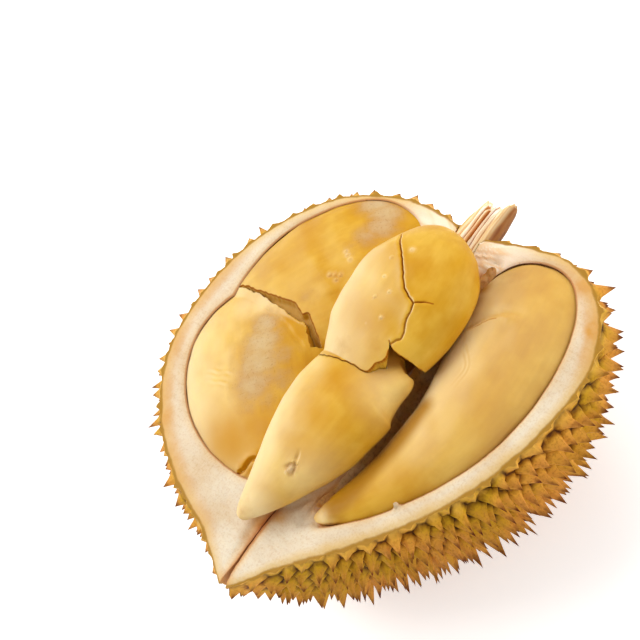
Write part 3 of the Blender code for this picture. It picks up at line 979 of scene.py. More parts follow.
def relief(name, points):
    """How far each point of an aril moves outwards along its normal."""
    height = 0.6 * MM * rough(points, 24 * MM, 3) + 0.28 * MM * rough(points, 8 * MM, 8)
    if name == "centre_upper_aril":
        height += crack(points, CROWN_CRACK, width=0.5, depth=1.4, lip=0.12, ends=(0.02, 0.02))
        height += crack(points, CROWN_BRANCH, width=0.4, depth=0.7, lip=0.2, ends=(0.02, 0.5))
        height += swelling(points, (28, -22, 122), reach=9, height=-0.9)
        height += beads(points, CROWN_BEADS, size=0.85, height=0.6)
    elif name == "centre_lower_aril":
        for line in PUCKER_FOLDS:
            height += crack(points, line, width=1.1, depth=0.9, lip=0.2, ends=(0.01, 0.7))
        height += crack(points, PUCKER_RIDGE, width=1.5, depth=-0.8, lip=0.0, ends=(0.2, 0.4))
        height += swelling(points, (12, -38, 108), reach=7.5, height=5.0)
        height += swelling(points, (-46, -21.2, 114), reach=5, height=-0.9)
        height += swelling(points, (-37, -18, 117), reach=8, height=-0.6)
    elif name == "left_aril":
        height += crack(points, LEFT_SECOND_FOLD, width=1.6, depth=0.35, lip=0.06, ends=(0.2, 0.15))
        height += crack(points, LEFT_LOW_TEAR, width=1.2, depth=1.8, lip=0.3, ends=(0.05, 0.1))
        for line in LEFT_WRINKLES:
            height += wrinkles(points, line, spacing=2.8, height=0.08, reach=3.5)
        membrane = spots(points, PALE_SPOTS[name])
        height += 0.08 * MM * membrane * rough(points, 1.6 * MM, 14)
    elif name == "back_aril":
        height += fold(points, BACK_FOLD, width=9.0, height=0.7, hollow=0.2, ends=(0.7, 0.1))
        height += beads(points, BACK_CRUMBS, size=0.9, height=0.7)
    else:
        height += fold(points, RIGHT_CREASE, width=4.5, height=0.8, hollow=0.6, ends=(0.15, 0.5))
        height += wrinkles(points, RIGHT_SHOULDER, spacing=2.1, height=0.04, reach=8.0)
        near_tip = 1 - fade(points[:, 0], -60 * MM, -30 * MM)
        height += 0.35 * MM * near_tip * rough(points, 2.4 * MM, 15)
    return height


print("beads on the crown:", len(CROWN_BEADS))

# %% [markdown]
# An aril is shaped in three steps: the soft body, finer faces along its marks and round its
# beads, and then the relief, which moves each point straight out of the surface or into it.

# %% Shape an aril
BEADS = {"centre_upper_aril": CROWN_BEADS, "back_aril": BACK_CRUMBS}


def marked_aril(name):
    """A fine soft body with its marks pressed in."""
    bm = soft_body(ARIL_STATIONS[name], 0, ARIL_AROUND, ARIL_ALONG)
    refine(bm, LINES[name], (3.2, 1.7))
    refine(bm, [np.array([bead, bead]) * MM for bead in BEADS.get(name, ())], (2.2, 1.8))
    bm.normal_update()
    points = np.array([vert.co[:] for vert in bm.verts])
    normals = np.array([vert.normal[:] for vert in bm.verts])
    points += normals * relief(name, points)[:, None]
    for vert, point in zip(bm.verts, points):
        vert.co = point
    return bm


arils = {}
for name in ARIL_STATIONS:
    arils[name] = add_piece(name.replace("aril", "flesh"), marked_aril(name), [flesh])
    print(arils[name].name, len(arils[name].data.polygons), "faces")

# %% [markdown]
# ## Torn edges
# The skin of the upper aril ends in a ragged flap that is draped over the lower aril, and the
# left aril is draped over the back one in the same way. Seen from above, a flap is a height:
# inside its ragged line the skin lies on the other aril, and beyond the line it dives under.
# The back aril's own skin is sunk a little beyond its torn edge, which leaves a step there.

# %% Drape the flaps
def height_below(tree, point):
    """Height of a surface straight below or above a point, or None."""
    spot = tree.ray_cast(Vector((point[0], point[1], 0.2)), Vector((0, 0, -1)))[0]
    return None if spot is None else spot.z


def move_points(piece, points):
    """Give a piece's points new places."""
    piece.data.vertices.foreach_set("co", points.astype(np.float32).ravel())
    piece.data.update()


def drape(piece, under, line, lift, dive, lowest):
    """Lay a piece's upper skin on another piece inside a line, and dive below it beyond."""
    tree = surface_tree([under])
    points = point_array(piece)
    far, _, side = near_line(points, line, 30 * MM)
    for i in np.nonzero((far < 30 * MM) & (points[:, 2] > lowest))[0]:
        ground = height_below(tree, points[i])
        if ground is not None and side[i] < 0:
            points[i, 2] = max(points[i, 2], ground + lift * (1 - fade(far[i], 8 * MM, 16 * MM)))
        elif ground is not None:
            points[i, 2] = min(points[i, 2], ground - dive)
    move_points(piece, points)


def sink(piece, line, depth, lowest):
    """Lower a piece's upper skin beyond a line."""
    points = point_array(piece)
    far, _, side = near_line(points, line, 12 * MM)
    share = fade(far, 0, 1.5 * MM) * (far < 12 * MM) * (side > 0) * (points[:, 2] > lowest)
    points[:, 2] -= depth * share * (1 - fade(far, 8 * MM, 12 * MM))
    move_points(piece, points)


drape(arils["centre_upper_aril"], arils["centre_lower_aril"], FLAP_EDGE, lift=0.5 * MM,
      dive=2.5 * MM, lowest=105 * MM)
drape(arils["left_aril"], arils["back_aril"], LEFT_TORN_EDGE, lift=0.0 * MM,
      dive=6.0 * MM, lowest=92 * MM)
sink(arils["back_aril"], BACK_TORN_EDGE, depth=3.0 * MM, lowest=92 * MM)
print("flaps draped on", arils["centre_lower_aril"].name, "and", arils["back_aril"].name)

# %% [markdown]
# To the right of the flap the two middle arils have parted in a dark wedge that widens
# downhill. Each side of the wedge is a torn lip, so each aril is cut by a prism whose one side
# follows its lip. The upper prism leans in under its lip, which leaves the lip thin and the
# wedge deep and dark.

# %% Part the middle arils
def lip_prism(name, lip, far_side, low, high, lean):
    """A prism between a lip and points beyond it. It leans under the lip as it goes down."""
    bm = bmesh.new()
    outline = [tuple(point) for point in lip] + [(x * MM, y * MM, 116 * MM) for x, y in far_side]
    rings = []
    for level in (low, high):
        rings.append([bm.verts.new((x + lean[0] * (z - level), y + lean[1] * (z - level), level))
                      for x, y, z in outline])
        bm.faces.new(rings[-1])
    for i in range(len(outline)):
        bm.faces.new((rings[0][i - 1], rings[0][i], rings[1][i], rings[1][i - 1]))
    bmesh.ops.triangulate(bm, faces=bm.faces[:])
    bmesh.ops.recalc_face_normals(bm, faces=bm.faces)
    return add_piece(name, bm, [flesh])


UPPER_FAR_SIDE = ((18.6, -60), (-20, -60), (-20, -38), (8, -31))
LOWER_FAR_SIDE = ((16, -60), (40, -60), (40, -24))
upper_prism = lip_prism("beyond_upper_lip", UPPER_LIP, UPPER_FAR_SIDE,
                        low=88 * MM, high=135 * MM, lean=(0.3, 0.85))
lower_prism = lip_prism("beyond_lower_lip", LOWER_LIP, LOWER_FAR_SIDE,
                        low=86 * MM, high=135 * MM, lean=(0, 0))
carve(arils["centre_upper_aril"], [upper_prism])
carve(arils["centre_lower_aril"], [lower_prism])
lip_gap = abs(UPPER_LIP[40, 0] - LOWER_LIP[40, 0]) / MM
print("gap between the lips:", round(lip_gap, 1), "mm at its middle")

# %% [markdown]
# Arils that lie together press beds into one another. Each is given a bed for those that press
# on it, by booleans with copies of them that are grown by a hair's breadth, so that no two
# pieces cut through each other.

# %% Give each aril the beds of its neighbours
def grown_copy(piece, gap):
    """A copy of a piece whose points are moved outwards by a gap."""
    bm = bmesh.new()
    bm.from_mesh(piece.data)
    bm.normal_update()
    shifts = [vert.normal * gap for vert in bm.verts]
    for vert, shift in zip(bm.verts, shifts):
        vert.co += shift
    return add_piece(piece.name + "_bed", bm, [flesh])


PRESSED_BY = {
    "centre_lower_aril": ("centre_upper_aril",),
    "left_aril": ("centre_upper_aril", "centre_lower_aril"),
    "back_aril": ("centre_upper_aril", "centre_lower_aril", "left_aril"),
    "right_aril": ("centre_upper_aril", "centre_lower_aril"),
}
BED_GAP = 0.35 * MM
for name, neighbours in PRESSED_BY.items():
    beds = [grown_copy(arils[neighbour], BED_GAP) for neighbour in neighbours]
    carve(arils[name], beds)
    print(arils[name].name, len(arils[name].data.polygons), "faces after its beds")

# %% [markdown]
# The flesh has a grain that runs along each aril. A pattern in plain object coordinates would
# cut across it, so every point is also given its place in a straightened aril: how far along
# the spine it lies, and how far to the side and above.

# %% Grain of the flesh
def straightened(piece, stations):
    """Each point's place along, beside and above the spine, in mm."""
    points = point_array(piece)
    centres, ahead, side, rise, _ = along_spine(stations, np.linspace(0, 1, 80))
    lengths = np.concatenate(([0], np.cumsum(np.linalg.norm(np.diff(centres, axis=0), axis=1))))
    owners = nearest_index([Vector(centre) for centre in centres], points)
    offset = points - centres[owners]
    values = [lengths[owners] + np.sum(offset * ahead[owners], axis=1),
              np.sum(offset * side[owners], axis=1), np.sum(offset * rise[owners], axis=1)]
    return np.column_stack(values) / MM


def set_vectors(piece, name, values):
    """Store one vector at each point of a piece."""
    layer = piece.data.attributes.new(name, "FLOAT_VECTOR", "POINT")
    layer.data.foreach_set("vector", np.asarray(values, np.float32).ravel())


for name, piece in arils.items():
    set_vectors(piece, "grain", straightened(piece, ARIL_STATIONS[name]))
print("grain written on", len(arils), "arils")

# %% [markdown]
# The colour of the flesh changes from place to place. It is deep golden where the custard is
# thick, cream where it is dry, and brown along cracks and torn edges, where the skin has browned.
# Painted light and shade lie over this: cream as a painted highlight where the flesh faces the
# large soft lamp and on a few lit spots, painted shade deepening the brown in the cracks, deep gold
# as painted shade along the right aril's edge by the groove, and dull brown as painted shade where
# an aril turns down into a recess. Soft round spots and marked lines say where, and each becomes
# one more value on the mesh.

# %% Where the flesh changes colour
# Each spot is a place and a reach in mm, and a strength.
# Spots of deep gold. The small spots along the right aril's left edge, by the groove, are painted
# shade.
GOLDEN_AND_SHADE_SPOTS = {
    "left_aril": ((-52, 25, 97, 16, 1.0), (-40, 20, 100, 14, 0.8), (6, 30, 99, 5, 1.0),
                  (8, 38, 99, 4, 0.8), (-57, 12, 95, 6, 1.0), (1, 44, 100, 5, 0.5)),
    "back_aril": ((44, 58, 101, 16, 0.5), (29, 56, 101, 14, 0.5), (48, 40, 102, 14, 0.3),
                  (30, 25, 101, 6, 0.8), (22, 28, 101, 8, 0.5), (37, 31, 102, 6, 0.8)),
    "centre_upper_aril": ((25, -10, 124, 14, 0.5), (10, -18, 119, 10, 0.4), (52, -28, 120, 22, 0.3),
                          (48, -2, 125, 9, 0.5)),
    "centre_lower_aril": ((-8, -14, 117, 10, 0.6), (-24, -19, 118, 11, 0.8), (-36, -20, 117, 9, 0.6)),
    "right_aril": ((10, -62, 100, 22, 0.3), (-30, -56, 96, 18, 0.5), (80, -62, 96, 14, 0.3),
                   (-38, -40, 96, 8, 0.6), (-25, -42, 96, 7, 0.6), (-10, -44, 96, 6, 0.5),
                   (-40, -46, 98, 8, 0.4)),
}
# Lines along which the flesh is browner: browned skin at torn edges, and painted shade in the cracks.
STAIN_AND_SHADE_LINES = {
    "left_aril": (LEFT_LOW_TEAR,),
    "back_aril": (BACK_TORN_EDGE,),
    "centre_upper_aril": (CROWN_CRACK, CROWN_BRANCH, FLAP_EDGE, UPPER_LIP),
    "centre_lower_aril": (FLAP_EDGE, LOWER_LIP),
    "right_aril": (RIGHT_CREASE[:30],),
}
# Spots of cream: the beads and crumbs are dry flesh, and the spots on the right aril and the lower
# middle aril are painted light.
CREAM_AND_LIGHT_SPOTS = {
    "right_aril": ((26, -44, 99.5, 9, 1.0), (36, -43, 99, 8, 1.0), (20, -41, 96, 8, 0.9),
                   (50, -46, 101, 8, 0.5), (-56, -36, 95.5, 5, 0.8)),
    "centre_lower_aril": ((-70, -9, 108, 14, 0.9), (-58, -6, 111, 14, 0.7), (-46, -22, 112, 16, 0.5),
                          (2, -32, 112, 14, 0.4), (-72, -14, 104, 10, 0.9)),
    "left_aril": ((11, 58, 98, 12, 0.8), (4, 66, 97, 12, 0.6)),
    "centre_upper_aril": [(*bead, 1.3, 1.0) for bead in CROWN_BEADS],
    "back_aril": [(*crumb, 1.4, 1.0) for crumb in BACK_CRUMBS],
}

# Painted shade on the right aril: spots in the hollow by the stem, and a line along the side that lies
# in the groove's recess.
ARIL_HOLLOW_SHADE_SPOTS = ((66, -31, 94, 5, 1.0), (59, -33, 95, 5, 0.8), (52, -36, 96, 4, 0.5))
GROOVE_SHADE_LINE = marked_line(((-50, -39, 96), (-40, -42, 97), (-28, -43, 98), (-12, -46, 99),
                           (6, -46, 99)))
print("spots of deep gold:", sum(len(rows) for rows in GOLDEN_AND_SHADE_SPOTS.values()))

# %% [markdown]
# The painted highlight on the side that faces the large soft lamp is worked out from the
# normals, and the cream spots, some of them painted light, are laid over it. The recesses, which
# get painted shade, lie under the torn edge of the back aril and along the side of the right
# aril that turns down into the groove.

# %% Write the flesh's values
LIT_SIDE = np.array((-0.62, 0.55, 0.56))   # the way towards the large soft lamp: flesh that faces it gets a painted highlight


def cream_and_lit_side_share(name, points, normals):
    """How much of an aril's colour is pale: dry flesh, and painted light on the lit side."""
    cream = 0.9 * fade(normals @ LIT_SIDE, 0.4, 0.95)
    if name == "back_aril":
        cream *= 0.5
    if name == "right_aril":
        cream = (cream + 0.25) * fade(points[:, 0], -50 * MM, 10 * MM)
    return np.minimum(np.maximum(cream, spots(points, CREAM_AND_LIGHT_SPOTS[name])), 1)


def recess_shade_share(name, points):
    """How much of an aril's colour is painted shade: dull brown under a torn edge, along a side in the
    groove and in the hollow by the stem.
    """
    if name == "back_aril":
        far, _, side = near_line(points, BACK_TORN_EDGE)
        beyond = (side > -0.3 * MM) * (points[:, 2] > 88 * MM)
        return 0.65 * beyond * (1 - fade(far, 4 * MM, 7 * MM))
    if name == "right_aril":
        shade_by_groove = 1 - fade(near_line(points, GROOVE_SHADE_LINE)[0], 1 * MM, 8 * MM)
        return np.maximum(0.9 * shade_by_groove, spots(points, ARIL_HOLLOW_SHADE_SPOTS))
    return np.zeros(len(points))


for name, piece in arils.items():
    points = point_array(piece)
    normals = np.array([vert.normal[:] for vert in piece.data.vertices])
    stain_and_shade_gaps = [near_line(points, line)[0] for line in STAIN_AND_SHADE_LINES[name]]
    set_values(piece, "pale", spots(points, PALE_SPOTS[name]))
    set_values(piece, "golden", spots(points, GOLDEN_AND_SHADE_SPOTS[name]))
    set_values(piece, "cream", cream_and_lit_side_share(name, points, normals))
    set_values(piece, "crack_gap", np.min(stain_and_shade_gaps, axis=0) / MM)
    set_values(piece, "recess", recess_shade_share(name, points))
    smooth_with_ridges(piece, 60)
print("values on the flesh: grain, pale, golden, cream, crack_gap, recess")

# %% [markdown]
# ## The stem
# The stem was split along its length with the fruit. Below it is round and covered in bark,
# and above it shows bands of torn fibres with cracks between them. A fine ball is stretched
# into a blunt stub, its upper side is pressed down onto the split, the cracks are sunk into
# it, and each band ends at a length of its own. A copy grown by a gap cuts its socket.

# %% Make the stem
STEM_LENGTH = 32 * MM
STEM_ROOT_RADIUS = 10.5 * MM
STEM_END_RADIUS = 8 * MM
STEM_BLUNTNESS = 0.22
STEM_SINK = 0.6 * MM        # how far the split side lies under the stem's highest place
FIBRE_WIDTH = 2.4 * MM
FIBRE_RELIEF = 0.9 * MM
BARK_RELIEF = 0.4 * MM

# Each crack is its place from -1 to 1 across the split, its depth in mm and its half width.
STEM_CRACKS = ((-0.66, 1.6, 0.05), (-0.4, 1.0, 0.03), (-0.16, 1.9, 0.05), (0.12, 3.4, 0.08),
               (0.36, 1.8, 0.04), (0.58, 1.3, 0.04), (0.78, 1.1, 0.04))

# How long each band of fibres is across the split, as a share of the stem's length.
BAND_ENDS = (0.84, 0.86, 0.97, 0.9, 0.82, 0.95, 0.93, 1.12, 1.16)
stem_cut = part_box("stem")[1].z


def stem_crack_depths(across, lengths):
    """How deep the cracks are, in mm, at shares from -1 to 1 across the split."""
    total = np.zeros(len(across))
    for middle, depth, width in STEM_CRACKS:
        places = np.column_stack((lengths * 60, across * 0, across * 0 + middle * 9))
        drift = 0.03 * rough(places, 1.0, 3)
        total = np.maximum(total, depth * np.exp(-((across - middle - drift) / width) ** 2))
    return total


def make_stem():
    """A stub of stem with a split upper side."""
    bm = bmesh.new()
    bmesh.ops.create_uvsphere(bm, u_segments=220, v_segments=120, radius=1)
    ball = np.array([vert.co[:] for vert in bm.verts])
    ring = np.maximum(np.hypot(ball[:, 0], ball[:, 1]), 1e-6)
    blunt = ring ** (STEM_BLUNTNESS - 1)
    t = 0.5 + 0.5 * np.clip(ball[:, 2] * 1.04, -1, 1)
    radius = STEM_ROOT_RADIUS + (STEM_END_RADIUS - STEM_ROOT_RADIUS) * t
    across = -ball[:, 0] * blunt
    ends = between([[end] for end in BAND_ENDS], (np.clip(across, -1, 1) + 1) / 2 * 0.9999)[:, 0]
    points = np.column_stack((STEM_ROOT.x + STEM_LENGTH * t * (1 - (1 - ends) * fade(t, 0.3, 1)),
                              STEM_ROOT.y + ball[:, 0] * blunt * radius,
                              STEM_ROOT.z + ball[:, 1] * blunt * radius))
    lengthwise = points * (0.12, 1, 0)
    fibres = rough(lengthwise, FIBRE_WIDTH, 2) + 0.4 * rough(lengthwise, 1 * MM, 6)
    sunk = stem_crack_depths(across, points[:, 0])
    surface = stem_cut - STEM_SINK + FIBRE_RELIEF * fibres - sunk * MM
    split = points[:, 2] > surface
    points[split, 2] = surface[split]
    bark = BARK_RELIEF * rough(points * (0.25, 1, 1), 2.5 * MM, 4)
    outward = np.column_stack((np.zeros(len(points)), ball[:, 0], ball[:, 1])) / ring[:, None]
    points += outward * (bark * ~split)[:, None]
    end = fade(t, 0.86, 1.0)
    points[:, 0] -= end * (1.2 * MM + 1.6 * MM * rough(points * (0, 1, 1), 1.4 * MM, 8))
    for vert, point in zip(bm.verts, points):
        vert.co = point
    return bm


stem = add_piece("split_stem", make_stem(), [stem_fibre])
stem_points = point_array(stem)
stem_run = (stem_points[:, 0] - STEM_ROOT.x) / STEM_LENGTH
stem_radius = STEM_ROOT_RADIUS + (STEM_END_RADIUS - STEM_ROOT_RADIUS) * stem_run
stem_across = (STEM_ROOT.y - stem_points[:, 1]) / stem_radius
stem_cracks = stem_crack_depths(stem_across, stem_points[:, 0])
set_values(stem, "split_depth", (stem_cut - stem_points[:, 2]) / MM - stem_cracks)
set_values(stem, "stem_crack", fade(stem_cracks, 0.5, 1.8))
set_values(stem, "across", (stem_across + 1) / 2)
smooth_with_ridges(stem, 50)
carve(husk, [grown_copy(stem, 0.3 * MM)])
print("stem:", len(stem.data.polygons), "faces")

# %% [markdown]
# ## Crumbs of the cuts
# Where a cut runs along a curved surface it leaves crumbs: slivers that hang on nothing, and
# faces too thin to see. They are no part of a real half, and they would be stray bits in the
# finished mesh. So points that lie on one another are merged, and each piece keeps only its
# largest island of faces.

# %% Drop the crumbs
MERGE_REACH = 0.002 * MM


def drop_crumbs(piece):
    """Merge points that coincide, keep the largest island, and say how many faces went."""
    bm = bmesh.new()
    bm.from_mesh(piece.data)
    before = len(bm.faces)
    bmesh.ops.remove_doubles(bm, verts=bm.verts, dist=MERGE_REACH)
    unseen = set(bm.faces)
    islands = []
    while unseen:
        waiting = [unseen.pop()]
        island = []
        while waiting:
            face = waiting.pop()
            island.append(face)
            for edge in face.edges:
                if len(edge.link_faces) == 2:
                    joined = unseen.intersection(edge.link_faces)
                    unseen -= joined
                    waiting.extend(joined)
        islands.append(island)
    islands.sort(key=len)
    crumbs = [face for island in islands[:-1] for face in island]
    bmesh.ops.delete(bm, geom=crumbs, context="FACES")
    bmesh.ops.delete(bm, geom=[vert for vert in bm.verts if not vert.link_faces], context="VERTS")
    dropped = before - len(bm.faces)
    bm.to_mesh(piece.data)
    bm.free()
    return dropped


for piece in (husk, *arils.values()):
    print(piece.name, "lost", drop_crumbs(piece), "faces of crumbs")

# %% [markdown]
# ## Ripe aril flesh
# The flesh is custard under a thin moist skin. Light goes in and comes out again a few
# millimetres away, which makes the shaded sides glow deep yellow instead of going grey, so the
# material has subsurface scattering. The skin gives it a soft satin sheen. Colour drifts from
# cream to gold in clouds about 22 mm across, with faint streaks 3 mm wide along the aril.

# %% Flesh material
def finish_material(material, settings, bumps):
    """Add the shader with its bumps, each a height, a strength and a distance in mm."""
    normal = None
    for height, strength, distance in bumps:
        bump = {"Height": height, "Strength": strength, "Distance": distance * MM}
        if normal is not None:
            bump["Normal"] = normal
        normal = add_node(material, "ShaderNodeBump", bump, "Normal")
    shader = add_node(material, "ShaderNodeBsdfPrincipled", {**settings, "Normal": normal}, "BSDF")
    add_node(material, "ShaderNodeOutputMaterial", {"Surface": shader})


def paint_flesh(material):
    """Cream to gold, streaked along the aril, pale where membrane clings, brown in the cracks, with
    painted highlights on the lit side and painted shade in cracks and recesses.
    """
    grain = add_node(material, "ShaderNodeAttribute", {"attribute_name": "grain"}, "Vector")
    pale, golden, cream, crack_gap, recess = [
        add_node(material, "ShaderNodeAttribute", {"attribute_name": name}, "Fac")
        for name in ("pale", "golden", "cream", "crack_gap", "recess")]
    lengthwise = add_node(material, "ShaderNodeMapping", {
        "Vector": grain, "Scale": (0.12, 1, 1)}, "Vector")
    crosswise = add_node(material, "ShaderNodeMapping", {
        "Vector": grain, "Scale": (1, 0.25, 0.25)}, "Vector")
    clouds = add_node(material, "ShaderNodeTexNoise", {
        "Vector": grain, "Scale": 1 / 22, "Detail": 5}, "Fac")
    streaks = add_node(material, "ShaderNodeTexNoise", {
        "Vector": lengthwise, "Scale": 1 / 3, "Detail": 4}, "Fac")
    creases = add_node(material, "ShaderNodeTexNoise", {
        "Vector": crosswise, "Scale": 1 / 1.4, "Detail": 3}, "Fac")
    curds = add_node(material, "ShaderNodeTexNoise", {
        "Vector": grain, "Scale": 1 / 4, "Detail": 5}, "Fac")
    fine = add_node(material, "ShaderNodeTexNoise", {
        "Vector": grain, "Scale": 1 / 0.8, "Detail": 3}, "Fac")

    gold = add_node(material, "ShaderNodeValToRGB", {"Fac": clouds, "stops": (
        (0.36, "#c58c12"), (0.5, "#cf9b24"), (0.66, "#ddb144"))}, "Color")
    shade = add_node(material, "ShaderNodeValToRGB", {"Fac": streaks, "stops": (
        (0.35, "#e2d3a4"), (0.62, "#ffffff"))}, "Color")
    colour = add_node(material, "ShaderNodeMix", {
        **TINT, "Factor": 0.25, "A": gold, "B": shade}, "Result")
    # Cream: dry flesh, and a painted highlight where the flesh faces the large soft lamp.
    share = add_node(material, "ShaderNodeMath", {"operation": "MULTIPLY", 0: cream, 1: 0.76}, "Value")
    colour = add_node(material, "ShaderNodeMix", {
        **COVER, "Factor": share, "A": colour, "B": "#f9e6b6"}, "Result")
    # Deep gold: thick custard, and painted shade along the right aril's edge by the groove.
    share = add_node(material, "ShaderNodeMath", {"operation": "MULTIPLY", 0: golden, 1: 0.85}, "Value")
    colour = add_node(material, "ShaderNodeMix", {
        **COVER, "Factor": share, "A": colour, "B": "#c88c0c"}, "Result")

    # A dry membrane clings in patches with ragged edges, and shows brown specks.
    ragged = add_node(material, "ShaderNodeMath", {
        "operation": "MULTIPLY_ADD", 0: curds, 1: 0.5, 2: -0.25}, "Value")
    ragged = add_node(material, "ShaderNodeMath", {"operation": "ADD", 0: pale, 1: ragged}, "Value")
    share = add_node(material, "ShaderNodeValToRGB", {"Fac": ragged, "stops": (
        (0.15, 0.0), (0.65, 0.75))}, "Color")
    membrane = add_node(material, "ShaderNodeValToRGB", {"Fac": ragged, "stops": (
        (0.3, "#c08c46"), (0.6, "#bf9764"), (0.95, "#c6ae8a"))}, "Color")
    specks = add_node(material, "ShaderNodeValToRGB", {"Fac": fine, "stops": (
        (0.32, "#a8743a"), (0.4, "#ffffff"))}, "Color")
    membrane = add_node(material, "ShaderNodeMix", {
        **TINT, "Factor": 0.4, "A": membrane, "B": specks}, "Result")
    wrinkled = add_node(material, "ShaderNodeValToRGB", {"Fac": creases, "stops": (
        (0.35, "#e2cba8"), (0.6, "#ffffff"))}, "Color")
    membrane = add_node(material, "ShaderNodeMix", {
        **TINT, "Factor": 0.2, "A": membrane, "B": wrinkled}, "Result")
    colour = add_node(material, "ShaderNodeMix", {
        **COVER, "Factor": share, "A": colour, "B": membrane}, "Result")
    # Painted shade: dull brown where an aril turns down into a recess.
    colour = add_node(material, "ShaderNodeMix", {
        **COVER, "Factor": recess, "A": colour, "B": "#a8741a"}, "Result")
    # Browner along cracks and torn edges: browned skin, and painted shade in the cracks.
    crack_stain_and_shade = add_node(material, "ShaderNodeValToRGB", {"Fac": crack_gap, "stops": (
        (0.0, "#8a5c1c"), (0.22, "#d3a860"), (0.5, "#ffffff"))}, "Color")
    colour = add_node(material, "ShaderNodeMix", {
        **TINT, "Factor": 1.0, "A": colour, "B": crack_stain_and_shade}, "Result")
    sheen = add_node(material, "ShaderNodeMapRange", {
        "Value": fine, "From Min": 0.3, "From Max": 0.7, "To Min": 0.36, "To Max": 0.5}, "Result")
    settings = {
        "Base Color": colour, "Roughness": sheen, "IOR": 1.4, "Specular IOR Level": 0.15,
        "Subsurface Weight": 0.3, "Subsurface Radius": (1.0, 0.8, 0.3), "Subsurface Scale": 0.003,
    }
    bumps = ((streaks, 0.15, 0.35), (creases, 0.2, 0.25), (fine, 0.15, 0.1))
    finish_material(material, settings, bumps)


paint_flesh(flesh)
print("flesh nodes:", len(flesh.node_tree.nodes))

# %% [markdown]
# ## Pith
# Pith is the pale, spongy wall inside the rind. At the rim it shows a thin line of olive-brown
# skin, then a waxy yellow band that is amber in places, and in two places beside the right aril
# the amber is painted shade. Then comes cream foam, drawn out into short torn fibres. The foam is
# whitest round the stem: white fibres there, with painted light laid over the upper aril's
# shadow. Beside the groove and in the hollow by the stem it carries painted shade, and it is
# brown where it touched the flesh.

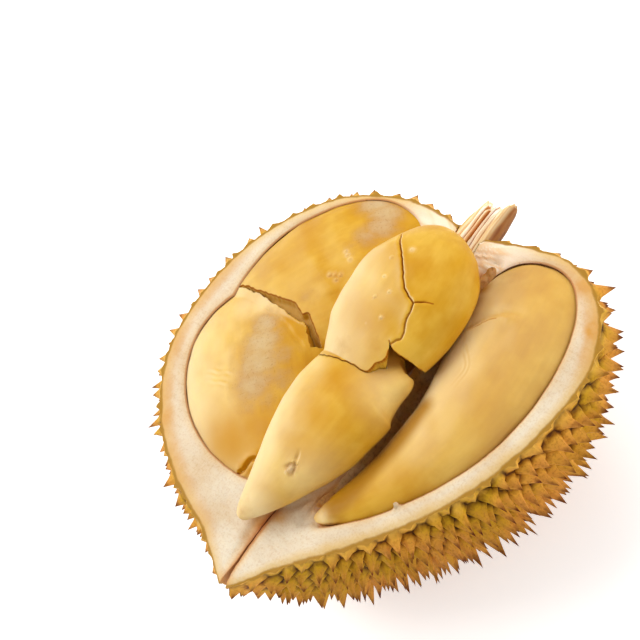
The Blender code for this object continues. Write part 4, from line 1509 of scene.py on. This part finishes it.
# %% Pith material
def paint_pith(material):
    """Cream foam with a yellow band at the skin, brown edges at the chambers, and painted light and
    shade by the stem and the groove.
    """
    place = add_node(material, "ShaderNodeTexCoord", {}, "Object")
    skin, chamber, split, amber, fibre, moist, near_stem = [
        add_node(material, "ShaderNodeAttribute", {"attribute_name": name}, "Fac")
        for name in ("skin_gap", "chamber_gap", "split_gap", "amber", "root_fibre", "moist",
                     "near_stem")]
    drawn = add_node(material, "ShaderNodeMapping", {"Vector": place, "Scale": (1, 0.3, 1)}, "Vector")
    waver = add_node(material, "ShaderNodeTexNoise", {
        "Vector": place, "Scale": 1 / (9 * MM), "Detail": 4}, "Fac")
    torn = add_node(material, "ShaderNodeTexNoise", {
        "Vector": drawn, "Scale": 1 / (2 * MM), "Detail": 5}, "Fac")
    clouds = add_node(material, "ShaderNodeTexNoise", {
        "Vector": place, "Scale": 1 / (22 * MM), "Detail": 4}, "Fac")
    foam = add_node(material, "ShaderNodeTexNoise", {
        "Vector": place, "Scale": 1 / (0.9 * MM), "Detail": 4}, "Fac")

    swing = add_node(material, "ShaderNodeMath", {
        "operation": "MULTIPLY_ADD", 0: waver, 1: 3.0, 2: -1.5}, "Value")
    depth = add_node(material, "ShaderNodeMath", {"operation": "ADD", 0: skin, 1: swing}, "Value")
    shallow = add_node(material, "ShaderNodeMapRange", {
        "Value": depth, "From Min": 1.5, "From Max": 6.0, "To Min": 1.0, "To Max": 0.0}, "Result")
    colour = add_node(material, "ShaderNodeValToRGB", {"Fac": clouds, "stops": (
        (0.36, "#d8c3a3"), (0.5, "#decfb6"), (0.64, "#e3d6be"))}, "Color")
    fleck = add_node(material, "ShaderNodeValToRGB", {"Fac": torn, "stops": (
        (0.36, "#dcbd92"), (0.5, "#ffffff"), (0.64, "#fff6e6"))}, "Color")
    colour = add_node(material, "ShaderNodeMix", {
        **TINT, "Factor": 0.14, "A": colour, "B": fleck}, "Result")
    pore = add_node(material, "ShaderNodeValToRGB", {"Fac": foam, "stops": (
        (0.34, "#d8b88c"), (0.5, "#ffffff"))}, "Color")
    colour = add_node(material, "ShaderNodeMix", {
        **TINT, "Factor": 0.25, "A": colour, "B": pore}, "Result")
    share = add_node(material, "ShaderNodeMath", {"operation": "MULTIPLY", 0: shallow, 1: 0.6}, "Value")
    colour = add_node(material, "ShaderNodeMix", {
        **COVER, "Factor": share, "A": colour, "B": "#dcb04c"}, "Result")
    patchy = add_node(material, "ShaderNodeMapRange", {
        "Value": waver, "From Min": 0.3, "From Max": 0.6, "To Min": 0.45, "To Max": 1.0}, "Result")
    share = add_node(material, "ShaderNodeMath", {
        "operation": "MULTIPLY", 0: amber, 1: patchy}, "Value")
    colour = add_node(material, "ShaderNodeMix", {
        **COVER, "Factor": share, "A": colour, "B": "#cf9540"}, "Result")
    # Painted shade: tan-orange beside the groove.
    colour = add_node(material, "ShaderNodeMix", {
        **COVER, "Factor": moist, "A": colour, "B": "#dc9a3e"}, "Result")
    lip = add_node(material, "ShaderNodeMath", {
        "operation": "DIVIDE", 0: chamber, 1: 4.0, "use_clamp": True}, "Value")
    lip = add_node(material, "ShaderNodeValToRGB", {"Fac": lip, "stops": (
        (0.0, "#b06a14"), (0.15, "#dba65c"), (0.3, "#fff4e0"), (1.0, "#ffffff"))}, "Color")
    brown = add_node(material, "ShaderNodeMath", {
        "operation": "MULTIPLY_ADD", 0: moist, 1: -0.85, 2: 0.85}, "Value")
    colour = add_node(material, "ShaderNodeMix", {
        **TINT, "Factor": brown, "A": colour, "B": lip}, "Result")
    # Whiter round the stem: white fibres, and painted light in the upper aril's shadow.
    colour = add_node(material, "ShaderNodeMix", {
        **COVER, "Factor": near_stem, "A": colour, "B": "#fff0dc"}, "Result")
    side = add_node(material, "ShaderNodeMath", {
        "operation": "DIVIDE", 0: split, 1: 5.0, "use_clamp": True}, "Value")
    side = add_node(material, "ShaderNodeValToRGB", {"Fac": side, "stops": (
        (0.0, "#b8681a"), (0.2, "#e0a65a"), (0.55, "#fff0da"), (1.0, "#ffffff"))}, "Color")
    colour = add_node(material, "ShaderNodeMix", {
        **TINT, "Factor": 0.85, "A": colour, "B": side}, "Result")
    strand = add_node(material, "ShaderNodeValToRGB", {"Fac": fibre, "stops": (
        (0.0, "#ffffff"), (0.35, "#fff6ec"), (0.6, "#f6d6a8"), (0.75, "#fffaf2"))}, "Color")
    colour = add_node(material, "ShaderNodeMix", {
        **TINT, "Factor": 0.8, "A": colour, "B": strand}, "Result")
    edge = add_node(material, "ShaderNodeMath", {
        "operation": "DIVIDE", 0: depth, 1: 3.0, "use_clamp": True}, "Value")
    edge = add_node(material, "ShaderNodeValToRGB", {"Fac": edge, "stops": (
        (0.0, 1.0), (0.2, 0.9), (0.45, 0.0))}, "Color")
    colour = add_node(material, "ShaderNodeMix", {
        **COVER, "Factor": edge, "A": colour, "B": "#a5760a"}, "Result")
    settings = {
        "Base Color": colour, "Roughness": 0.6, "IOR": 1.4, "Subsurface Weight": 0.2,
        "Subsurface Radius": (1.0, 0.8, 0.5), "Subsurface Scale": 0.002,
    }
    finish_material(material, settings, ((waver, 0.3, 0.8), (torn, 0.5, 0.5), (foam, 0.45, 0.25)))


paint_pith(pith)
print("pith nodes:", len(pith.node_tree.nodes))

# %% [markdown]
# ## Chamber lining
# The chambers are lined with a smooth, tough skin that turns orange-brown where it stays moist,
# which is what gives every aril its thin warm outline.

# %% Lining material
def paint_lining(material):
    """Orange-brown skin in clouds 12 mm across."""
    place = add_node(material, "ShaderNodeTexCoord", {}, "Object")
    clouds = add_node(material, "ShaderNodeTexNoise", {
        "Vector": place, "Scale": 1 / (12 * MM), "Detail": 5}, "Fac")
    grit = add_node(material, "ShaderNodeTexNoise", {
        "Vector": place, "Scale": 1 / (1.5 * MM), "Detail": 4}, "Fac")
    colour = add_node(material, "ShaderNodeValToRGB", {"Fac": clouds, "stops": (
        (0.32, "#c58430"), (0.5, "#dba55a"), (0.68, "#e6bd84"))}, "Color")
    spot = add_node(material, "ShaderNodeValToRGB", {"Fac": grit, "stops": (
        (0.34, "#a06a34"), (0.48, "#ffffff"))}, "Color")
    colour = add_node(material, "ShaderNodeMix", {
        **TINT, "Factor": 0.3, "A": colour, "B": spot}, "Result")
    settings = {
        "Base Color": colour, "Roughness": 0.5, "IOR": 1.4, "Subsurface Weight": 0.3,
        "Subsurface Radius": (1.0, 0.5, 0.2), "Subsurface Scale": 0.004,
    }
    finish_material(material, settings, ((clouds, 0.3, 0.6), (grit, 0.3, 0.3)))


paint_lining(lining)
print("lining nodes:", len(lining.node_tree.nodes))

# %% [markdown]
# ## Rind
# The rind is hard and dry. The valleys between its thorns are painted dark as shade, and the
# thorns are olive gold at their feet, tan along their faces, which are partly painted light, and
# dark brown at their points, where they have dried and worn. Whole patches are greener or browner
# than their neighbours.

# %% Rind material
def paint_rind(material):
    """Olive and tan thorns with painted shade in the valleys, painted light on their faces, and dark
    dry points.
    """
    place = add_node(material, "ShaderNodeTexCoord", {}, "Object")
    climb = add_node(material, "ShaderNodeAttribute", {"attribute_name": "thorn_climb"}, "Fac")
    patches = add_node(material, "ShaderNodeTexNoise", {
        "Vector": place, "Scale": 1 / (30 * MM), "Detail": 3}, "Fac")
    mottle = add_node(material, "ShaderNodeTexNoise", {
        "Vector": place, "Scale": 1 / (5 * MM), "Detail": 5}, "Fac")
    grit = add_node(material, "ShaderNodeTexNoise", {
        "Vector": place, "Scale": 1 / (1.1 * MM), "Detail": 4}, "Fac")
    swing = add_node(material, "ShaderNodeMath", {
        "operation": "MULTIPLY_ADD", 0: mottle, 1: 0.6, 2: -0.3}, "Value")
    height = add_node(material, "ShaderNodeMath", {
        "operation": "ADD", 0: climb, 1: swing, "use_clamp": True}, "Value")
    # Both ramps paint shade dark in the valleys and painted light on the middle of each face.
    green = add_node(material, "ShaderNodeValToRGB", {"Fac": height, "stops": (
        (0.0, "#4c2c00"), (0.14, "#946a04"), (0.4, "#cc9c1c"), (0.7, "#c88c2c"),
        (0.97, "#642c04"))}, "Color")
    tan = add_node(material, "ShaderNodeValToRGB", {"Fac": height, "stops": (
        (0.0, "#542a00"), (0.14, "#a06608"), (0.4, "#dc9e36"), (0.7, "#d4903a"),
        (0.97, "#642a04"))}, "Color")
    share = add_node(material, "ShaderNodeValToRGB", {
        "Fac": patches, "stops": ((0.42, 0.0), (0.58, 1.0))}, "Color")
    colour = add_node(material, "ShaderNodeMix", {
        **COVER, "Factor": share, "A": green, "B": tan}, "Result")
    dirt = add_node(material, "ShaderNodeValToRGB", {"Fac": grit, "stops": (
        (0.32, "#9c7430"), (0.5, "#ffffff"))}, "Color")
    colour = add_node(material, "ShaderNodeMix", {
        **TINT, "Factor": 0.35, "A": colour, "B": dirt}, "Result")

    # Next to the cut the skin is thin, and the pale pith shows through it.
    level = add_node(material, "ShaderNodeSeparateXYZ", {"Vector": place}, "Z")
    level = add_node(material, "ShaderNodeMath", {
        "operation": "MULTIPLY_ADD", 0: mottle, 1: 0.008, 2: level}, "Value")
    thin = add_node(material, "ShaderNodeMapRange", {
        "Value": level, "From Min": rim_height - 1 * MM, "From Max": rim_height + 4 * MM,
        "To Min": 0.0, "To Max": 0.75}, "Result")
    colour = add_node(material, "ShaderNodeMix", {
        **COVER, "Factor": thin, "A": colour, "B": "#e4b04c"}, "Result")
    settings = {"Base Color": colour, "Roughness": 0.6, "IOR": 1.45, "Specular IOR Level": 0.15}
    finish_material(material, settings, ((mottle, 0.4, 0.6), (grit, 0.3, 0.2)))


paint_rind(rind)
print("rind nodes:", len(rind.node_tree.nodes))

# %% [markdown]
# ## Split stem
# Bark is brown and dull. Across the split the wood goes from bark through tan to pale fibres,
# with orange cracks between them.

# %% Stem material
def paint_stem(material):
    """Pale fibres between orange cracks above, brown bark below and at the sides."""
    place = add_node(material, "ShaderNodeTexCoord", {}, "Object")
    depth, crack_share, across = [
        add_node(material, "ShaderNodeAttribute", {"attribute_name": name}, "Fac")
        for name in ("split_depth", "stem_crack", "across")]
    lengthwise = add_node(material, "ShaderNodeMapping", {
        "Vector": place, "Scale": (0.08, 1, 0.5)}, "Vector")
    lines = add_node(material, "ShaderNodeTexNoise", {
        "Vector": lengthwise, "Scale": 1 / (1.6 * MM), "Detail": 5}, "Fac")
    fine = add_node(material, "ShaderNodeTexNoise", {
        "Vector": lengthwise, "Scale": 1 / (0.6 * MM), "Detail": 4}, "Fac")
    band = add_node(material, "ShaderNodeValToRGB", {"Fac": across, "stops": (
        (0.04, "#a8742c"), (0.12, "#f4d08c"), (0.28, "#ffe6b8"), (0.4, "#fff8e8"), (0.55, "#f8cc88"),
        (0.68, "#fffaf0"), (0.86, "#fbe2b0"), (0.97, "#9a6428"))}, "Color")
    fibres = add_node(material, "ShaderNodeValToRGB", {"Fac": lines, "stops": (
        (0.34, "#c98c3c"), (0.46, "#f4d8a0"), (0.54, "#ffffff"))}, "Color")
    colour = add_node(material, "ShaderNodeMix", {
        **TINT, "Factor": 0.55, "A": band, "B": fibres}, "Result")
    colour = add_node(material, "ShaderNodeMix", {
        **COVER, "Factor": crack_share, "A": colour, "B": "#c87c1c"}, "Result")
    bark = add_node(material, "ShaderNodeValToRGB", {"Fac": fine, "stops": (
        (0.35, "#6a3d14"), (0.6, "#9c6425"), (0.75, "#bd8438"))}, "Color")
    low = add_node(material, "ShaderNodeMapRange", {
        "Value": depth, "From Min": 7.5, "From Max": 11.0, "To Min": 0.0, "To Max": 1.0}, "Result")
    colour = add_node(material, "ShaderNodeMix", {
        **COVER, "Factor": low, "A": colour, "B": bark}, "Result")
    settings = {"Base Color": colour, "Roughness": 0.75, "IOR": 1.45}
    finish_material(material, settings, ((lines, 0.5, 0.5), (fine, 0.4, 0.2)))


paint_stem(stem_fibre)
print("stem nodes:", len(stem_fibre.node_tree.nodes))

# %% [markdown]
# ## Floor
# The half stands on a sheet of white acrylic that is lit faintly from below, as small things
# are often shown, so its shadow stays soft and pale.

# %% Floor
floor_paint = new_material("lit_white_acrylic", "#f4f4f2")
floor_place = add_node(floor_paint, "ShaderNodeTexCoord", {}, "Object")
speck = add_node(floor_paint, "ShaderNodeTexNoise", {
    "Vector": floor_place, "Scale": 1 / (25 * MM)}, "Fac")
acrylic = {"Base Color": "#fafafa", "Roughness": 0.8, "Emission Color": "#ffffff",
           "Emission Strength": 0.42}
finish_material(floor_paint, acrylic, ((speck, 0.02, 0.1),))
bm = bmesh.new()
bmesh.ops.create_grid(bm, x_segments=2, y_segments=2, size=3.0)
floor = add_piece("floor", bm, [floor_paint])
print("floor:", [round(side, 1) for side in floor.dimensions], "m")

# %% [markdown]
# ## Hand over
# Each new piece takes the place of its CAD node and rides on the one body of the part.

# %% Replace the CAD nodes
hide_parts("husk")
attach(husk, "root")
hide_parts("stem")
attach(stem, "root")
for name, piece in arils.items():
    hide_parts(name)
    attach(piece, "root")
